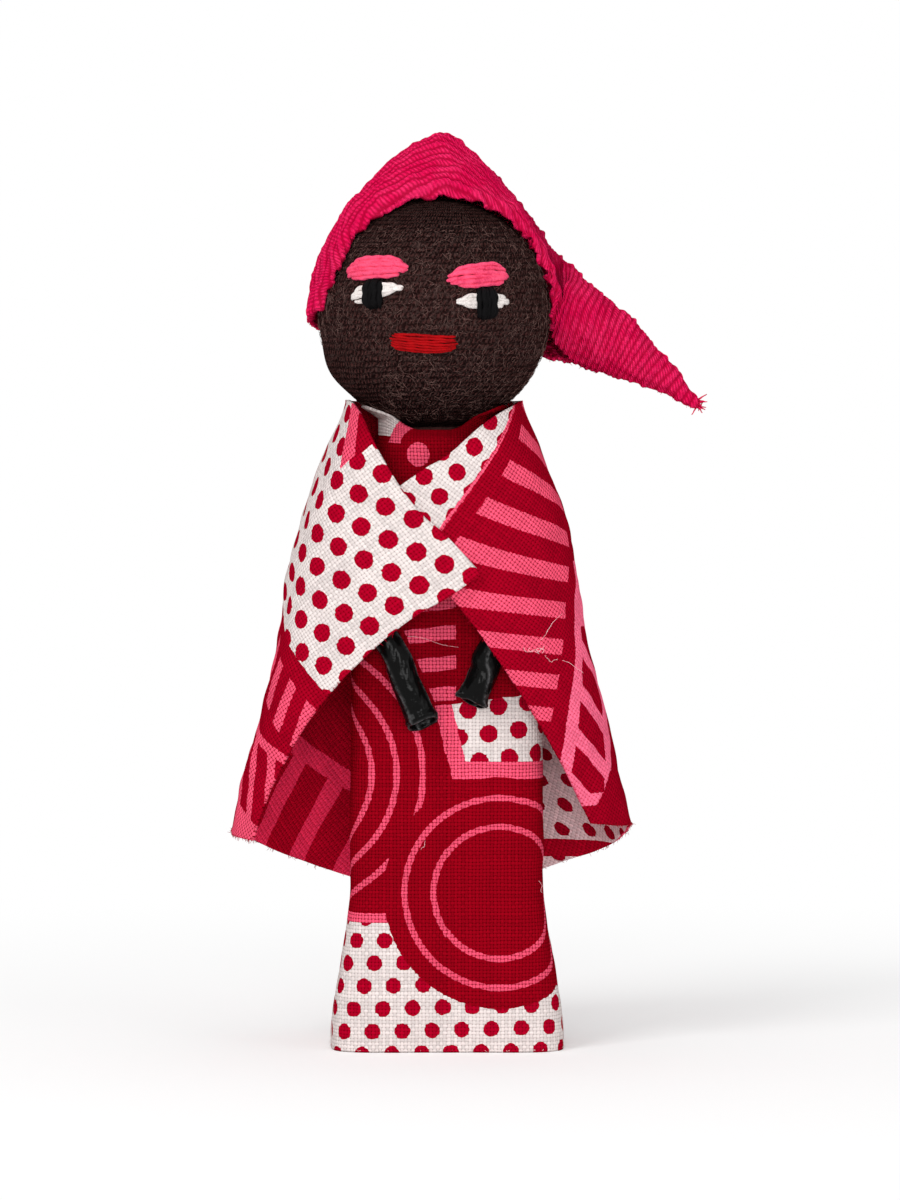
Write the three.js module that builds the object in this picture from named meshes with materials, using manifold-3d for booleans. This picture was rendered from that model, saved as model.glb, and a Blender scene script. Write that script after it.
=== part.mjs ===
// A worry doll: a rolled card body dressed in printed cotton, a stuffed stocking head with a
// stitched face, a knitted hood with a long tail, a crossed cape and two rolled plastic arms.
// Millimetres, +Z up, the face looks along -Y, the origin is the middle of the flat base.
import * as THREE from 'three';
import { mergeVertices } from 'three/addons/utils/BufferGeometryUtils.js';
import Module from 'manifold-3d';

const wasm = await Module();
wasm.setup();

// Clearances and cloth
const FIT = 0.3; // gap between neighbouring pieces
const CLOTH = 0.5; // printed cotton, stiffened with glue
const BLOCK_POWER = 6; // 2 gives an ellipse, more gives a flat front with rounder corners

// Rolled card core and what is inside it
const CORE_HALF_WIDTH = 8.9;
const CORE_HALF_DEPTH = 6;
const CORE_WALL = 0.8;
const CORE_TOP = 36;
const CHEST_RISE = 10; // from the core's rim up to the chest
const SHOULDER_RISE = 8; // from the chest up to the shoulders
const NECK_RISE = 7.6; // from the shoulders up to the dress's rim
const BASE_CARD = 0.8;
const DOWEL_RADIUS = 2;
const DOWEL_FOOT = 14;

// Dress: one strip of cotton wrapped round the core from the floor to the neck
const FLARE_HEIGHT = 18;
const FLARE_WIDTH = 2.1;
const FLARE_DEPTH = 0.9;
const LAP_ANGLE = 40; // degrees of the wrap that lie double at the back
const LAP_GAP = 0.15;
const CHEST_POWER = 2.6; // the block shape of the core rounds off upward
const SHOULDER_POWER = 2.4;
const SHOULDER_SLOPE = 1.4; // how far each side has drawn in at the shoulders
const SHOULDER_SLANT = 0.4; // the same, front and back
const YOKE_SLOPE = 2.6; // each side, half way from the shoulders to the rim
const YOKE_EASE = 0.4;
const YOKE_POWER = 2.2;
const DRESS_RIM = 5.6; // radius of the opening round the neck

// Head
const HEAD_RADIUS = 11.7;
const HEAD_X = -1.3; // the head sits a little to the doll's right
const COVER_WALL = 0.7;
const CHIN_GAP = 2.05; // from the dress's rim up to the head
const SLEEVE_DROP = 3.2; // the stocking's neck below the head
const BINDING_RADIUS = 0.3;
const BINDING_PITCH = 0.7;
const BINDING_TURNS = 4;

// Arms
const ARM_RADIUS = 1.5;
const ARM_LAP = 0.18; // step of the rolled strip's free edge
const ARM_TWIST = 150; // degrees that the free edge turns along the arm
const ARM_GAP = 0.4; // from the dress to the roll
const ARM_BORE = 0.95; // open end of the roll
const HOLLOW_SHARE = 0.4; // share of the free end that isn't hollow
const WIRE_RADIUS = 0.5;
const WIRE_RISE = 0.6; // the wire above the shoulder line
const WIRE_SPREAD = 5; // half of the straight stretch behind the dowel
const WIRE_REACH = 0.42; // share of each arm that the wire goes into
// Front view of each arm's centre line: x, and how far below the chest
const LEFT_FOREARM = [4.4, 5.6];
const LEFT_BEND = [3.75, 7.8];
const LEFT_END = [2.45, 10.8];
const RIGHT_FOREARM = [-5.4, 5.3];
const RIGHT_BEND = [-4.35, 8];
const RIGHT_END = [-2.4, 12.9];

// Face, worked in satin stitch
const PAD_GAP = 0.06;
const LID_HALF_HEIGHT = 1.3;
const LID_HEIGHT = 0.5;
const WHITE_HALF_HEIGHT = 0.62;
const WHITE_HEIGHT = 0.36;
const PUPIL_HALF_WIDTH = 0.92;
const PUPIL_HEIGHT = 0.34;
const MOUTH_HALF_HEIGHT = 1.1;
const THREAD_VALLEY = 0.6; // height between two threads as a share of their height

// Cape
const COLLAR_RADIUS = 8.5;
const COLLAR_GAP = 0.95;
const CAPE_POWER = 2.3;
const CAPE_HEM_HALF_WIDTH = 19.8;
const CAPE_HEM_BACK = 13;
const CAPE_LENGTH = 50.6; // from the collar to the hem's lowest point, behind
const FOLD_DEPTH = 0.7;
// Front view of the flaps: x, and how far below the collar or above the hem
const RIGHT_CORNER = [3.1, 16.7];
const RIGHT_NECK = [-6.5, 4.2];
const RIGHT_HEM = [-18.4, 6.9];
const LEFT_CORNER = [-7, 9.8];
const LEFT_NECK = [3, 2.5];
const LEFT_HEM = [14.2, 8.7];

// Hat
const HAT_WALL = 0.6;
const PEAK_RISE = 6.5; // the peak above the top of the head
const TAIL_REACH = 26.7; // the tip to the right of the head's centre
const TAIL_DROP = 9.3; // the tip below the head's centre

const { clamp, lerp, smoothstep, degToRad: rad, radToDeg: deg } = THREE.MathUtils;
const vec = (x, y, z) => new THREE.Vector3(x, y, z);
const power = (value, exponent) => Math.sign(value) * Math.abs(value) ** exponent;

// A smooth value through a list of evenly spaced key values
function through(values, t) {
  const place = clamp(t, 0, 1) * (values.length - 1);
  const i = Math.min(Math.floor(place), values.length - 2);
  const f = place - i;
  const at = (k) => values[clamp(k, 0, values.length - 1)];
  const slopeA = (at(i + 1) - at(i - 1)) / 2;
  const slopeB = (at(i + 2) - at(i)) / 2;
  const rise = at(i + 1) - at(i);
  return at(i) + f * (slopeA + f * (3 * rise - 2 * slopeA - slopeB + f * (slopeA + slopeB - 2 * rise)));
}

// A smooth value through rows sorted by height, each row being [height, value, value...]
function rowsAt(rows, column, z) {
  let i = 0;
  while (i < rows.length - 2 && z > rows[i + 1][0]) i += 1;
  const share = (z - rows[i][0]) / (rows[i + 1][0] - rows[i][0]);
  return through(rows.map((row) => row[column]), (i + share) / (rows.length - 1));
}

// Point of an oval; angle 0 is the front, 90 the doll's left (+X), 180 the back
function oval(halfWidth, front, back, exponent, degrees) {
  const s = Math.sin(rad(degrees));
  const c = Math.cos(rad(degrees));
  const depth = c > 0 ? front : back;
  return [halfWidth * power(s, 2 / exponent), -depth * power(c, 2 / exponent)];
}

function geometryOf(points, triangles) {
  const geometry = new THREE.BufferGeometry();
  const numbers = points.flatMap((p) => [p.x, p.y, p.z]);
  geometry.setAttribute('position', new THREE.Float32BufferAttribute(numbers, 3));
  geometry.setIndex(triangles);
  return outward(geometry);
}

// Turns a closed surface so that its faces look out
function outward(geometry) {
  const position = geometry.getAttribute('position');
  const index = geometry.getIndex();
  const corner = [vec(), vec(), vec()];
  let volume = 0;
  for (let i = 0; i < index.count; i += 3) {
    corner.forEach((p, k) => p.fromBufferAttribute(position, index.getX(i + k)));
    volume += corner[0].dot(corner[1].clone().cross(corner[2]));
  }
  if (volume < 0) {
    const flipped = Array.from(index.array);
    for (let i = 0; i < flipped.length; i += 3) {
      [flipped[i], flipped[i + 1]] = [flipped[i + 1], flipped[i]];
    }
    geometry.setIndex(flipped);
  }
  return geometry;
}

// A sheet with thickness between two surfaces of u and v; ring joins u = 1 back to u = 0
function slab(outer, inner, nu, nv, ring = false) {
  const points = [];
  const triangles = [];
  const columns = ring ? nu : nu + 1;
  for (const side of [outer, inner]) {
    for (let j = 0; j <= nv; j += 1) {
      for (let i = 0; i < columns; i += 1) points.push(side(i / nu, j / nv));
    }
  }
  const half = points.length / 2;
  const at = (i, j, side) => side * half + j * columns + (i % columns);
  const quad = (a, b, c, d) => triangles.push(a, b, c, a, c, d);
  for (let j = 0; j < nv; j += 1) {
    for (let i = 0; i < nu; i += 1) {
      quad(at(i, j, 0), at(i + 1, j, 0), at(i + 1, j + 1, 0), at(i, j + 1, 0));
      quad(at(i, j + 1, 1), at(i + 1, j + 1, 1), at(i + 1, j, 1), at(i, j, 1));
    }
  }
  for (let i = 0; i < nu; i += 1) {
    quad(at(i, 0, 1), at(i + 1, 0, 1), at(i + 1, 0, 0), at(i, 0, 0));
    quad(at(i, nv, 0), at(i + 1, nv, 0), at(i + 1, nv, 1), at(i, nv, 1));
  }
  if (!ring) {
    for (let j = 0; j < nv; j += 1) {
      quad(at(0, j, 0), at(0, j + 1, 0), at(0, j + 1, 1), at(0, j, 1));
      quad(at(nu, j, 1), at(nu, j + 1, 1), at(nu, j + 1, 0), at(nu, j, 0));
    }
  }
  return geometryOf(points, triangles);
}

// A solid through rings of points, closed by a flat fan at each end
function loft(rings) {
  const count = rings[0].length;
  const points = rings.flat();
  const triangles = [];
  const middle = (ring) => ring.reduce((sum, p) => sum.add(p), vec(0, 0, 0)).divideScalar(count);
  const first = points.push(middle(rings[0])) - 1;
  const last = points.push(middle(rings[rings.length - 1])) - 1;
  const end = (rings.length - 1) * count;
  for (let i = 0; i < count; i += 1) {
    const next = (i + 1) % count;
    for (let j = 0; j < rings.length - 1; j += 1) {
      const a = j * count;
      triangles.push(a + i, a + next, a + count + next, a + i, a + count + next, a + count + i);
    }
    triangles.push(first, next, i, last, end + i, end + next);
  }
  return geometryOf(points, triangles);
}

// The surface that lies a given depth under another one
function under(surface, depth) {
  const step = 0.002;
  return (u, v) => {
    const u0 = Math.min(u, 1 - step);
    const v0 = Math.min(v, 1 - step);
    const p = surface(u0, v0);
    const du = surface(u0 + step, v0).sub(p);
    const dv = surface(u0, v0 + step).sub(p);
    const normal = du.cross(dv).normalize();
    return surface(u, v).addScaledVector(normal, depth(u, v));
  };
}

function manifold(geometry) {
  const bare = geometry.clone();
  bare.deleteAttribute('normal');
  bare.deleteAttribute('uv');
  const merged = mergeVertices(bare, 1e-4);
  return new wasm.Manifold(new wasm.Mesh({
    numProp: 3,
    vertProperties: new Float32Array(merged.getAttribute('position').array),
    triVerts: new Uint32Array(merged.getIndex().array),
  }));
}

function geometryFrom(solid) {
  const mesh = solid.getMesh();
  const geometry = new THREE.BufferGeometry();
  const numbers = new Float32Array(mesh.vertProperties);
  geometry.setAttribute('position', new THREE.BufferAttribute(numbers, 3));
  geometry.setIndex(Array.from(mesh.triVerts));
  return geometry;
}

function without(geometry, ...tools) {
  return geometryFrom(tools.reduce((solid, tool) => solid.subtract(manifold(tool)), manifold(geometry)));
}

function cylinder(radius, x, y, bottom, top, sides = 24) {
  return new THREE.CylinderGeometry(radius, radius, top - bottom, sides)
    .rotateX(Math.PI / 2)
    .translate(x, y, (bottom + top) / 2);
}

function rod(points, radius, steps, sides) {
  const section = new THREE.Shape();
  for (let i = 0; i < sides; i += 1) {
    const angle = (2 * Math.PI * i) / sides;
    const x = radius * Math.cos(angle);
    const y = radius * Math.sin(angle);
    if (i === 0) section.moveTo(x, y);
    else section.lineTo(x, y);
  }
  return new THREE.ExtrudeGeometry(section, {
    steps,
    curveSegments: 1,
    bevelEnabled: false,
    extrudePath: new THREE.CatmullRomCurve3(points),
  });
}

// Heights and layers of the body, counted upward and outward from the core
const chest = CORE_TOP + CHEST_RISE;
const shoulder = chest + SHOULDER_RISE;
const dressTop = shoulder + NECK_RISE;
const dressHalfWidth = CORE_HALF_WIDTH + FIT + CLOTH;
const dressDepth = CORE_HALF_DEPTH + FIT + CLOTH;
const lapLift = CLOTH + LAP_GAP;
const armLayer = ARM_GAP + 2 * ARM_RADIUS;
const capeOverArm = FIT + CLOTH;

// Core: base card, card tube, neck dowel
const tubeFoot = BASE_CARD + FIT / 2;

function ovalRing(halfWidth, halfDepth, z, sides = 32) {
  return Array.from({ length: sides }, (_, i) => {
    const [x, y] = oval(halfWidth, halfDepth, halfDepth, BLOCK_POWER, (360 * i) / sides);
    return vec(x, y, z);
  });
}

const baseCard = loft([0, BASE_CARD].map((z) => ovalRing(CORE_HALF_WIDTH, CORE_HALF_DEPTH, z)));

function tubeSide(inset) {
  return (u, v) => {
    const depth = CORE_HALF_DEPTH - inset;
    const [x, y] = oval(CORE_HALF_WIDTH - inset, depth, depth, BLOCK_POWER, 360 * u);
    return vec(x, y, lerp(tubeFoot, CORE_TOP, v));
  };
}
const coreTube = slab(tubeSide(0), tubeSide(CORE_WALL), 32, 1, true);

// Head heights follow from the dress's rim
const headZ = dressTop + CHIN_GAP + Math.sqrt(HEAD_RADIUS ** 2 - DRESS_RIM ** 2);
const head = vec(HEAD_X, 0, headZ);
const ballRadius = HEAD_RADIUS - COVER_WALL - FIT;
const boreRadius = DOWEL_RADIUS + FIT;
const sleeveRadius = boreRadius + COVER_WALL;
const sleeveFoot = headZ - HEAD_RADIUS - SLEEVE_DROP;
const dowelTop = headZ;
const neckDowel = cylinder(DOWEL_RADIUS, HEAD_X, 0, DOWEL_FOOT, dowelTop);

// Points of a head profile from the top of the ball down to where it is as narrow as the neck
function ballProfile(radius, narrow, steps) {
  const last = Math.PI - Math.asin(narrow / radius);
  return Array.from({ length: steps + 1 }, (_, i) => {
    const angle = (last * i) / steps;
    return new THREE.Vector2(i === 0 ? 0 : radius * Math.sin(angle), headZ + radius * Math.cos(angle));
  });
}

// Revolves a profile of radius and height about the head's upright axis
function revolve(profile, sides) {
  const lathe = new THREE.LatheGeometry(profile, sides).rotateX(Math.PI / 2).translate(HEAD_X, 0, 0);
  lathe.deleteAttribute('normal');
  lathe.deleteAttribute('uv');
  return outward(mergeVertices(lathe, 1e-4));
}

const headBall = revolve([
  ...ballProfile(ballRadius, boreRadius, 10),
  new THREE.Vector2(boreRadius, dowelTop + FIT),
  new THREE.Vector2(0, dowelTop + FIT),
], 24);

const headCover = revolve([
  ...ballProfile(HEAD_RADIUS, sleeveRadius, 12),
  new THREE.Vector2(sleeveRadius, sleeveFoot),
  new THREE.Vector2(boreRadius, sleeveFoot),
  ...ballProfile(HEAD_RADIUS - COVER_WALL, boreRadius, 9).reverse(),
], 28);

// Thread that ties the stocking's neck to the dowel
const bindingFoot = sleeveFoot + 2 * BINDING_RADIUS;
const bindingRadius = sleeveRadius + BINDING_RADIUS + FIT / 2;
const perTurn = 12;
const bindingPoints = Array.from({ length: BINDING_TURNS * perTurn + 1 }, (_, i) => {
  const turns = i / perTurn;
  const x = bindingRadius * Math.cos(2 * Math.PI * turns);
  const y = bindingRadius * Math.sin(2 * Math.PI * turns);
  return vec(HEAD_X + x, y, bindingFoot + BINDING_PITCH * turns);
});
const neckBinding = rod(bindingPoints, BINDING_RADIUS, BINDING_TURNS * 10, 6);

// Dress: height, half width, half depth and squareness above the flare of the hem
const dressRows = [
  [FLARE_HEIGHT, dressHalfWidth, dressDepth, BLOCK_POWER],
  [CORE_TOP, dressHalfWidth, dressDepth, BLOCK_POWER],
  [chest, dressHalfWidth, dressDepth, CHEST_POWER],
  [shoulder, dressHalfWidth - SHOULDER_SLOPE, dressDepth - SHOULDER_SLANT, SHOULDER_POWER],
  [(shoulder + dressTop) / 2, dressHalfWidth - YOKE_SLOPE, DRESS_RIM + YOKE_EASE, YOKE_POWER],
  [dressTop, DRESS_RIM, DRESS_RIM, 2],
];
const bodyX = (z) => HEAD_X * smoothstep(z, chest, dressTop);

// A point that lies a given distance outside the dress
function offDress(degrees, z, distance) {
  const height = Math.max(z, FLARE_HEIGHT);
  const flare = smoothstep(FLARE_HEIGHT - z, 0, FLARE_HEIGHT);
  const halfWidth = rowsAt(dressRows, 1, height) + FLARE_WIDTH * flare + distance;
  const depth = rowsAt(dressRows, 2, height) + FLARE_DEPTH * flare + distance;
  const [x, y] = oval(halfWidth, depth, depth, rowsAt(dressRows, 3, height), degrees);
  return vec(bodyX(z) + x, y, z);
}

// The wrap's end is lapped over its start at the back
const lapShare = LAP_ANGLE / (360 + LAP_ANGLE);

function dressSide(inset) {
  return (u, v) => {
    const lift = lapLift * smoothstep(u, 1 - 2 * lapShare, 1 - lapShare);
    const degrees = 180 + LAP_ANGLE / 2 - (360 + LAP_ANGLE) * u;
    return offDress(degrees, lerp(dressTop, 0, v), lift - inset);
  };
}
const dressCloth = slab(dressSide(0), dressSide(CLOTH), 34, 10);

// Stuffing: fills the tube, spreads over its rim and rounds off the shoulders
const packed = CORE_WALL + FIT;
const shoulderRing = (z, sides = 32) => Array.from({ length: sides }, (_, i) => (
  offDress((360 * i) / sides, z, -CLOTH - FIT)
));
const packedRing = (z) => ovalRing(CORE_HALF_WIDTH - packed, CORE_HALF_DEPTH - packed, z);
const stuffingTop = sleeveFoot - FIT;
const stuffing = loft([
  packedRing(BASE_CARD + FIT),
  packedRing(CORE_TOP + FIT),
  shoulderRing(CORE_TOP + 2 * FIT),
  shoulderRing(chest),
  shoulderRing((chest + shoulder) / 2),
  shoulderRing(shoulder),
  shoulderRing((shoulder + stuffingTop) / 2),
  shoulderRing(stuffingTop),
]);

// Arms: centre lines that follow the dress from shoulder to hand
const armOut = ARM_GAP + ARM_RADIUS;

// The point of an arm's centre line that the front view shows at x, so far below the chest
function armFront([x, below]) {
  const z = chest - below;
  const share = (x - bodyX(z)) / (rowsAt(dressRows, 1, z) + armOut);
  const degrees = deg(Math.asin(power(clamp(share, -1, 1), rowsAt(dressRows, 3, z) / 2)));
  return offDress(degrees, z, armOut);
}

const upperArmZ = lerp(chest, shoulder, 0.54);
const armPoints = {
  left: [
    offDress(98, shoulder, armOut),
    offDress(80, upperArmZ, armOut),
    offDress(44, chest - FIT, armOut),
    ...[LEFT_FOREARM, LEFT_BEND, LEFT_END].map(armFront),
  ],
  right: [
    offDress(-98, shoulder, armOut),
    offDress(-80, upperArmZ, armOut),
    offDress(-46, chest - FIT, armOut),
    ...[RIGHT_FOREARM, RIGHT_BEND, RIGHT_END].map(armFront),
  ],
};
const bend = 4; // the point where the free end of the roll starts to bend
const armCurve = (side) => new THREE.CatmullRomCurve3(armPoints[side]);

// A ring of the rolled strip: a spiral section whose lap edge turns slowly along the arm
function armRing(curve, t, sides = 14) {
  const centre = curve.getPoint(t);
  const along = curve.getTangent(t);
  const across = vec(0, 1, 0).cross(along).normalize();
  const upward = along.clone().cross(across);
  const wholeTurn = 355; // the lap edge is a steep step, not a cut
  return Array.from({ length: sides }, (_, i) => {
    const share = i / (sides - 1);
    const radius = ARM_RADIUS - ARM_LAP * (1 - share);
    const angle = rad(ARM_TWIST * t + wholeTurn * share);
    return centre.clone()
      .addScaledVector(across, radius * Math.cos(angle))
      .addScaledVector(upward, radius * Math.sin(angle));
  });
}

function armRoll(side, from, to, steps) {
  const curve = armCurve(side);
  const rings = Array.from({ length: steps + 1 }, (_, i) => armRing(curve, lerp(from, to, i / steps)));
  return loft(rings);
}

const bendShare = bend / (armPoints.left.length - 1);

function ballAt(point, radius) {
  return new THREE.SphereGeometry(radius, 14, 10).translate(point.x, point.y, point.z);
}

// One wire runs from arm to arm, behind the dowel and through both shoulders
const wireZ = shoulder + WIRE_RISE;
const wireY = DOWEL_RADIUS + WIRE_RADIUS;
const wireShares = [1, 0.71, 0.43, 0.14];
const wireArm = (side) => wireShares.map((share) => armCurve(side).getPoint(WIRE_REACH * share));
const wirePoints = [
  ...wireArm('right'),
  vec(HEAD_X - WIRE_SPREAD, wireY, wireZ),
  vec(HEAD_X, wireY + 2 * FIT, wireZ),
  vec(HEAD_X + WIRE_SPREAD, wireY, wireZ),
  ...wireArm('left').reverse(),
];
const armWire = rod(wirePoints, WIRE_RADIUS, 36, 6);
const wireHole = rod(wirePoints, WIRE_RADIUS + FIT, 36, 8);

function upperArm(side) {
  const clear = ballAt(armPoints[side][bend], ARM_RADIUS + FIT);
  return without(armRoll(side, 0, bendShare, 9), clear, wireHole);
}

function hand(side) {
  const pivot = armPoints[side][bend];
  const end = armPoints[side][bend + 1];
  const out = end.clone().sub(pivot).normalize();
  const hollowFrom = pivot.clone().lerp(end, HOLLOW_SHARE);
  const hollow = rod([hollowFrom, end.clone().addScaledVector(out, ARM_BORE)], ARM_BORE, 1, 10);
  const knuckle = ballAt(pivot, ARM_RADIUS - ARM_LAP / 2);
  const roll = manifold(armRoll(side, bendShare, 1, 3));
  return geometryFrom(roll.add(manifold(knuckle)).subtract(manifold(hollow)));
}

const dress = without(dressCloth, wireHole);
const bodyStuffing = without(stuffing, wireHole,
  cylinder(boreRadius, HEAD_X, 0, DOWEL_FOOT - FIT, stuffingTop + FIT));

// Face: a pad of satin stitch on the head; turn and rise are degrees from its front to the left and up
function stitchPad({ turn, rise, tilt, halfLength, halfHeight, threads, height, taper, lift = () => 0 }) {
  const out = vec(0, -1, 0).applyAxisAngle(vec(1, 0, 0), -rad(rise)).applyAxisAngle(vec(0, 0, 1), rad(turn));
  const level = vec(0, 0, 1).cross(out).normalize();
  const along = level.clone().applyAxisAngle(out, rad(tilt));
  const across = out.clone().cross(along);
  const onHead = (a, b, h) => out.clone().multiplyScalar(HEAD_RADIUS)
    .addScaledVector(along, a)
    .addScaledVector(across, b)
    .normalize()
    .multiplyScalar(HEAD_RADIUS + h)
    .add(head);
  const steps = 8;
  const rings = Array.from({ length: steps + 1 }, (_, i) => {
    const s = (2 * i) / steps - 1;
    const swell = 1 - taper * s * s;
    const a = s * halfLength;
    const floor = PAD_GAP + lift(a);
    const ring = [];
    for (let k = 0; k <= 2 * threads; k += 1) {
      const crest = k % 2 === 1 ? 1 : THREAD_VALLEY;
      ring.push(onHead(a, halfHeight * swell * (k / threads - 1), floor + height * crest * swell));
    }
    for (let k = threads; k >= 0; k -= 1) {
      ring.push(onHead(a, halfHeight * swell * ((2 * k) / threads - 1), floor));
    }
    return ring;
  });
  return loft(rings);
}

// The pupil's threads cross over the white's and come down to the head beyond its edges
const overWhite = WHITE_HEIGHT + PAD_GAP;
const bridgeEnd = 2 * WHITE_HALF_HEIGHT;
const bridgeTop = 1.4 * WHITE_HALF_HEIGHT;
const bridge = (a) => overWhite * (1 - smoothstep(Math.abs(a), bridgeTop, bridgeEnd));
const lid = { halfHeight: LID_HALF_HEIGHT, threads: 6, height: LID_HEIGHT, taper: 0.42 };
const white = { halfHeight: WHITE_HALF_HEIGHT, threads: 3, height: WHITE_HEIGHT, taper: 0.2 };
const pupil = { halfHeight: PUPIL_HALF_WIDTH, threads: 4, height: PUPIL_HEIGHT, taper: 0.35, lift: bridge };
const lips = { halfHeight: MOUTH_HALF_HEIGHT, threads: 5, height: LID_HEIGHT, taper: 0.35 };

// The doll's own right eye is on the viewer's left
const face = {
  right_eyelid: stitchPad({ ...lid, turn: -33, rise: 23.4, tilt: 4, halfLength: 3.55 }),
  left_eyelid: stitchPad({ ...lid, turn: 24.4, rise: 19.5, tilt: 5, halfLength: 3.3 }),
  right_eye_white: stitchPad({ ...white, turn: -30.9, rise: 10.8, tilt: 10, halfLength: 3.1 }),
  left_eye_white: stitchPad({ ...white, turn: 25.5, rise: 6.1, tilt: 0, halfLength: 3 }),
  right_pupil: stitchPad({ ...pupil, turn: -31, rise: 9.6, tilt: 92, halfLength: 1.3 }),
  left_pupil: stitchPad({ ...pupil, turn: 26.2, rise: 5.2, tilt: 90, halfLength: 1.45 }),
  mouth: stitchPad({ ...lips, turn: -5.3, rise: -14.1, tilt: -3, halfLength: 3.55 }),
};

// Cape: height, half width, front depth, back depth of the oval it hangs on
const collarZ = headZ - Math.sqrt(HEAD_RADIUS ** 2 - COLLAR_RADIUS ** 2) - COLLAR_GAP;
const overArmWidth = (z) => rowsAt(dressRows, 1, z) + armLayer + capeOverArm;
const overArmDepth = dressDepth + armLayer + capeOverArm;
const overLap = dressDepth + lapLift + capeOverArm;
const capeHemZ = collarZ - CAPE_LENGTH;
const hemWidth = (share) => lerp(overArmWidth(chest), CAPE_HEM_HALF_WIDTH, share);
const hemBack = (share) => lerp(overLap, CAPE_HEM_BACK, share);
const capeRows = [
  [capeHemZ, hemWidth(1.24), overArmDepth, hemBack(1.08)],
  [lerp(chest, capeHemZ, 0.62), hemWidth(0.8), overArmDepth + FIT, hemBack(0.72)],
  [lerp(chest, capeHemZ, 0.27), hemWidth(0.35), overArmDepth + FIT, hemBack(0.4)],
  [chest + 1, hemWidth(0.06), overArmDepth + FIT, hemBack(0.15)],
  [shoulder, overArmWidth(shoulder) + FIT, overArmDepth - FIT, overLap + FIT],
  [lerp(shoulder, collarZ, 0.6), COLLAR_RADIUS + 1.8, COLLAR_RADIUS + 1.9, COLLAR_RADIUS],
  [collarZ, COLLAR_RADIUS, COLLAR_RADIUS, COLLAR_RADIUS - FIT],
];

// The angle round the cape of a point seen from the front at x
function capeAngle(x, z) {
  const share = (x - HEAD_X) / rowsAt(capeRows, 1, z);
  return deg(Math.asin(power(clamp(share, -1, 1), CAPE_POWER / 2)));
}
const below = ([x, drop]) => [capeAngle(x, collarZ - drop), collarZ - drop];
const above = ([x, rise]) => [capeAngle(x, capeHemZ + rise), capeHemZ + rise];
const fullTurn = ([degrees, z]) => [degrees - 360, z];

// Columns of the cloth from the doll's right flap round the back to its left flap: the angle and
// height of the upper edge and of the hem, and how far the column bows sideways between them
const capeColumns = [
  { top: below(RIGHT_CORNER), hem: above(RIGHT_HEM), bow: -17 },
  { top: below(RIGHT_NECK), hem: [-76, capeHemZ + 7.1], bow: -8 },
  { top: [-64, collarZ], hem: [-97, capeHemZ + 7.2], bow: 0 },
  { top: [-120, collarZ], hem: [-138, capeHemZ + 3.6], bow: 0 },
  { top: [-180, collarZ], hem: [-180, capeHemZ], bow: 0 },
  { top: [-240, collarZ], hem: [-222, capeHemZ + 3.6], bow: 0 },
  { top: [-288, collarZ], hem: [-266, capeHemZ + 7.7], bow: 0 },
  { top: fullTurn(below(LEFT_NECK)), hem: [-288, capeHemZ + 8.1], bow: 4 },
  { top: fullTurn(below(LEFT_CORNER)), hem: fullTurn(above(LEFT_HEM)), bow: 9 },
];
const capeValue = (u, pick) => through(capeColumns.map(pick), u);

function capeSide(u, v) {
  const bow = capeValue(u, (c) => c.bow) * 4 * v * (1 - v);
  const degrees = lerp(capeValue(u, (c) => c.top[0]), capeValue(u, (c) => c.hem[0]), v) + bow;
  const z = lerp(capeValue(u, (c) => c.top[1]), capeValue(u, (c) => c.hem[1]), v);
  const crossed = (CLOTH + FIT) * (1 - smoothstep(u, 0.12, 0.3));
  const behind = smoothstep(u, 0.25, 0.4) * (1 - smoothstep(u, 0.6, 0.75));
  const fold = FOLD_DEPTH * behind * v * v * Math.cos(rad(4.5 * degrees));
  const lift = crossed + fold;
  const [x, y] = oval(
    rowsAt(capeRows, 1, z) + lift,
    rowsAt(capeRows, 2, z) + lift,
    rowsAt(capeRows, 3, z) + lift,
    CAPE_POWER,
    degrees,
  );
  return vec(HEAD_X + x, y, z);
}
const cape = slab(capeSide, under(capeSide, () => CLOTH), 40, 12);

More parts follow.
